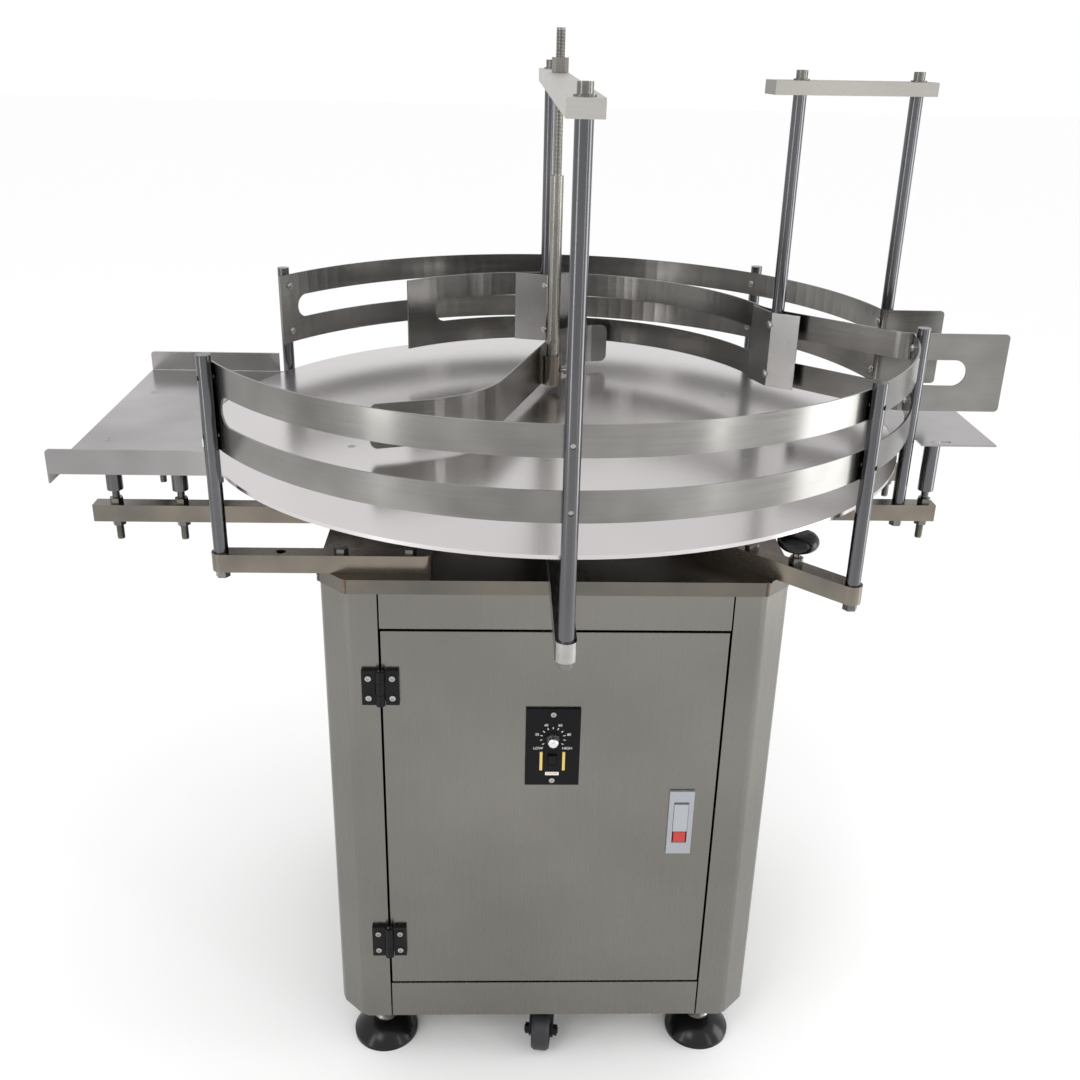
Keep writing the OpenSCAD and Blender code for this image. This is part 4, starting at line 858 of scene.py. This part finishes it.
@dataclass
class TransferPlates:
    """Infeed and outfeed decks with their standoffs."""

    edge: float = 0.6 * MM
    screw_r: float = 4.6 * MM
    rod_r: float = 4.0 * MM
    pitch: float = 1.25 * MM
    standoffs: tuple[tuple[float, float], ...] = (
        (-0.495, -0.092), (-0.495, 0.092), (-0.422, -0.092), (-0.422, 0.092), (0.44, -0.068), (0.44, 0.068))

    def build(self) -> None:
        """Dresses the decks and adds their screws and the threads below."""
        dress(FINISH.plate, "infeed_plate", "outfeed_plate")
        dress(FINISH.post, "standoff_sleeves")
        dress(FINISH.thread, "standoff_rods")
        soften(self.edge, "standoff_sleeves", "infeed_plate", "outfeed_plate")
        self.deck_screws()
        self.threads()

    def threads(self) -> None:
        """Winds the thread on each standoff rod, from its lower end up into the sleeve."""
        low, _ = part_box("standoff_rods")
        sleeve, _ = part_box("standoff_sleeves")
        shape = bmesh.new()
        first = Vector((*self.standoffs[0], low.z + self.pitch))
        helix_into(shape, first, self.rod_r, self.pitch, sleeve.z - low.z)
        ridge = [*shape.verts, *shape.edges, *shape.faces]
        for place in self.standoffs[1:]:
            copied = bmesh.ops.duplicate(shape, geom=ridge)["geom"]
            verts = [item for item in copied if isinstance(item, bmesh.types.BMVert)]
            bmesh.ops.translate(shape, vec=Vector((*place, first.z)) - first, verts=verts)
        add_piece("standoff_threads", shape, "stand", FINISH.thread)

    def deck_screws(self) -> None:
        """Adds a countersunk screw over each standoff."""
        _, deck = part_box("outfeed_plate")
        profile = countersunk_profile(self.screw_r)
        shape = bmesh.new()
        for x, y in self.standoffs:
            lathe_into(shape, profile, Matrix.Translation((x, y, deck.z)))
        add_piece("deck_screws", shape, "stand", FINISH.plated)


@dataclass
class Diverter:
    """Height-adjustable mast with its S-shaped guide."""

    axis: tuple[float, float] = (0.005, 0.118)
    rod_r: float = 5.0 * MM
    pitch: float = 1.5 * MM
    thread_low: float = 1.026

    def build(self) -> None:
        """Dresses mast, collar and guide, and winds the thread of the mast."""
        dress(FINISH.mast, "diverter_rod")
        dress(FINISH.arm, "diverter_collar")
        dress(FINISH.rail, "diverter_guide")
        _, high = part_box("diverter_rod")
        length = high.z - self.thread_low - self.pitch
        shape = bmesh.new()
        helix_into(shape, (*self.axis, self.thread_low), self.rod_r, self.pitch, length)
        add_piece("mast_thread", shape, "diverter_mast", FINISH.thread)


@dataclass
class Drive:
    """Bearing, gearmotor and hanger inside the cabinet."""

    def build(self) -> None:
        """Dresses the drive."""
        dress(FINISH.casting, "bearing_housing")
        dress(FINISH.motor, "gearhead", "motor")
        # The hanger takes the steel darkened as painted shade
        dress(FINISH.inner, "motor_hanger")


@dataclass(frozen=True)
class Lamp:
    """A soft rectangular lamp.

    Attributes:
        name: Name of the lamp.
        place: Where it stands.
        target: Where it looks.
        size: Width and height.
        power: Power in watts.
    """

    name: str
    place: Point
    target: Point
    size: tuple[float, float]
    power: float

    def build(self) -> None:
        """Adds the lamp to the scene."""
        data = bpy.data.lights.new(self.name, "AREA")
        data.shape = "RECTANGLE"
        data.size, data.size_y = self.size
        data.energy = self.power
        lamp = bpy.data.objects.new(self.name, data)
        bpy.context.scene.collection.objects.link(lamp)
        lamp.location = self.place
        lamp.rotation_euler = (Vector(self.target) - Vector(self.place)).to_track_quat("-Z", "Y").to_euler()


@dataclass
class Studio:
    """Floor, lights, background and camera."""

    eye: Point = (-0.0614, -1.3514, 1.1843)
    yaw: float = 0.0382
    pitch: float = 0.408
    roll: float = 0.024
    focal_px: float = 1178.8
    image_px: float = 1080.0
    sensor: float = 36.0
    near_clip: float = 0.05
    floor_size: float = 40.0
    floor_grey: float = 0.985
    floor_roughness: float = 0.9
    world_light: float = 1.0
    lamps: list[Lamp] = field(default_factory=lambda: [
        Lamp("key", (-1.3, -2.3, 2.6), (0.0, 0.0, 0.7), (1.0, 1.0), 13.0),
        Lamp("right", (2.0, -0.35, 0.6), (0.1, -0.2, 0.4), (0.8, 1.2), 13.0),
        Lamp("left_strip", (-1.7, -1.5, 1.1), (0.0, 0.0, 0.9), (0.26, 1.9), 8.0),
        Lamp("right_strip", (1.6, -1.7, 1.1), (0.0, 0.0, 0.9), (0.22, 1.9), 5.0),
    ])

    def build(self) -> None:
        """Sets up everything round the object."""
        self.floor()
        self.world()
        for lamp in self.lamps:
            lamp.build()
        self.camera()
        bpy.context.scene.view_settings.view_transform = "Standard"

    def floor(self) -> None:
        """Adds the pale floor."""
        shape = bmesh.new()
        bmesh.ops.create_grid(shape, x_segments=1, y_segments=1, size=self.floor_size / 2)
        mesh = bpy.data.meshes.new("floor")
        shape.to_mesh(mesh)
        shape.free()
        floor = bpy.data.objects.new("floor", mesh)
        bpy.context.scene.collection.objects.link(floor)
        material = bpy.data.materials.new("pale_floor")
        material.use_nodes = True
        shader = material.node_tree.nodes["Principled BSDF"]
        shader.inputs["Base Color"].default_value = (*[self.floor_grey] * 3, 1.0)
        shader.inputs["Roughness"].default_value = self.floor_roughness
        mesh.materials.append(material)

    def world(self) -> None:
        """Surrounds the scene with even white light."""
        world = bpy.data.worlds.new("studio")
        bpy.context.scene.world = world
        world.use_nodes = True
        background = world.node_tree.nodes["Background"]
        background.inputs["Color"].default_value = (1.0, 1.0, 1.0, 1.0)
        background.inputs["Strength"].default_value = self.world_light

    def camera(self) -> None:
        """Puts the camera where the photograph was taken."""
        right = Vector((math.cos(self.yaw), -math.sin(self.yaw), 0.0))
        level = math.cos(self.pitch)
        ahead = Vector((math.sin(self.yaw) * level, math.cos(self.yaw) * level, -math.sin(self.pitch)))
        up = right.cross(ahead)
        c, s = math.cos(self.roll), math.sin(self.roll)
        turned_right = c * right + s * up
        turned_up = -s * right + c * up
        data = bpy.data.cameras.new("photo_camera")
        data.sensor_width = self.sensor
        data.lens = self.sensor * self.focal_px / self.image_px
        data.clip_start = self.near_clip
        camera = bpy.data.objects.new("photo_camera", data)
        bpy.context.scene.collection.objects.link(camera)
        axes = Matrix((turned_right, turned_up, -ahead)).transposed().to_4x4()
        camera.matrix_world = Matrix.Translation(self.eye) @ axes
        bpy.context.scene.camera = camera


def main() -> None:
    """Builds every sub-assembly, then the studio."""
    logging.basicConfig(level=logging.INFO, format="%(message)s")
    parts: list[Assembly] = [
        Cabinet(), DoorFittings(), Undercarriage(), ArmsAndPosts(), GuideRails(), Turntable(),
        TransferPlates(), Diverter(), Drive(), Studio()]
    for part in parts:
        log.info("building %s", type(part).__name__)
        part.build()


if __name__ == "__main__":
    main()
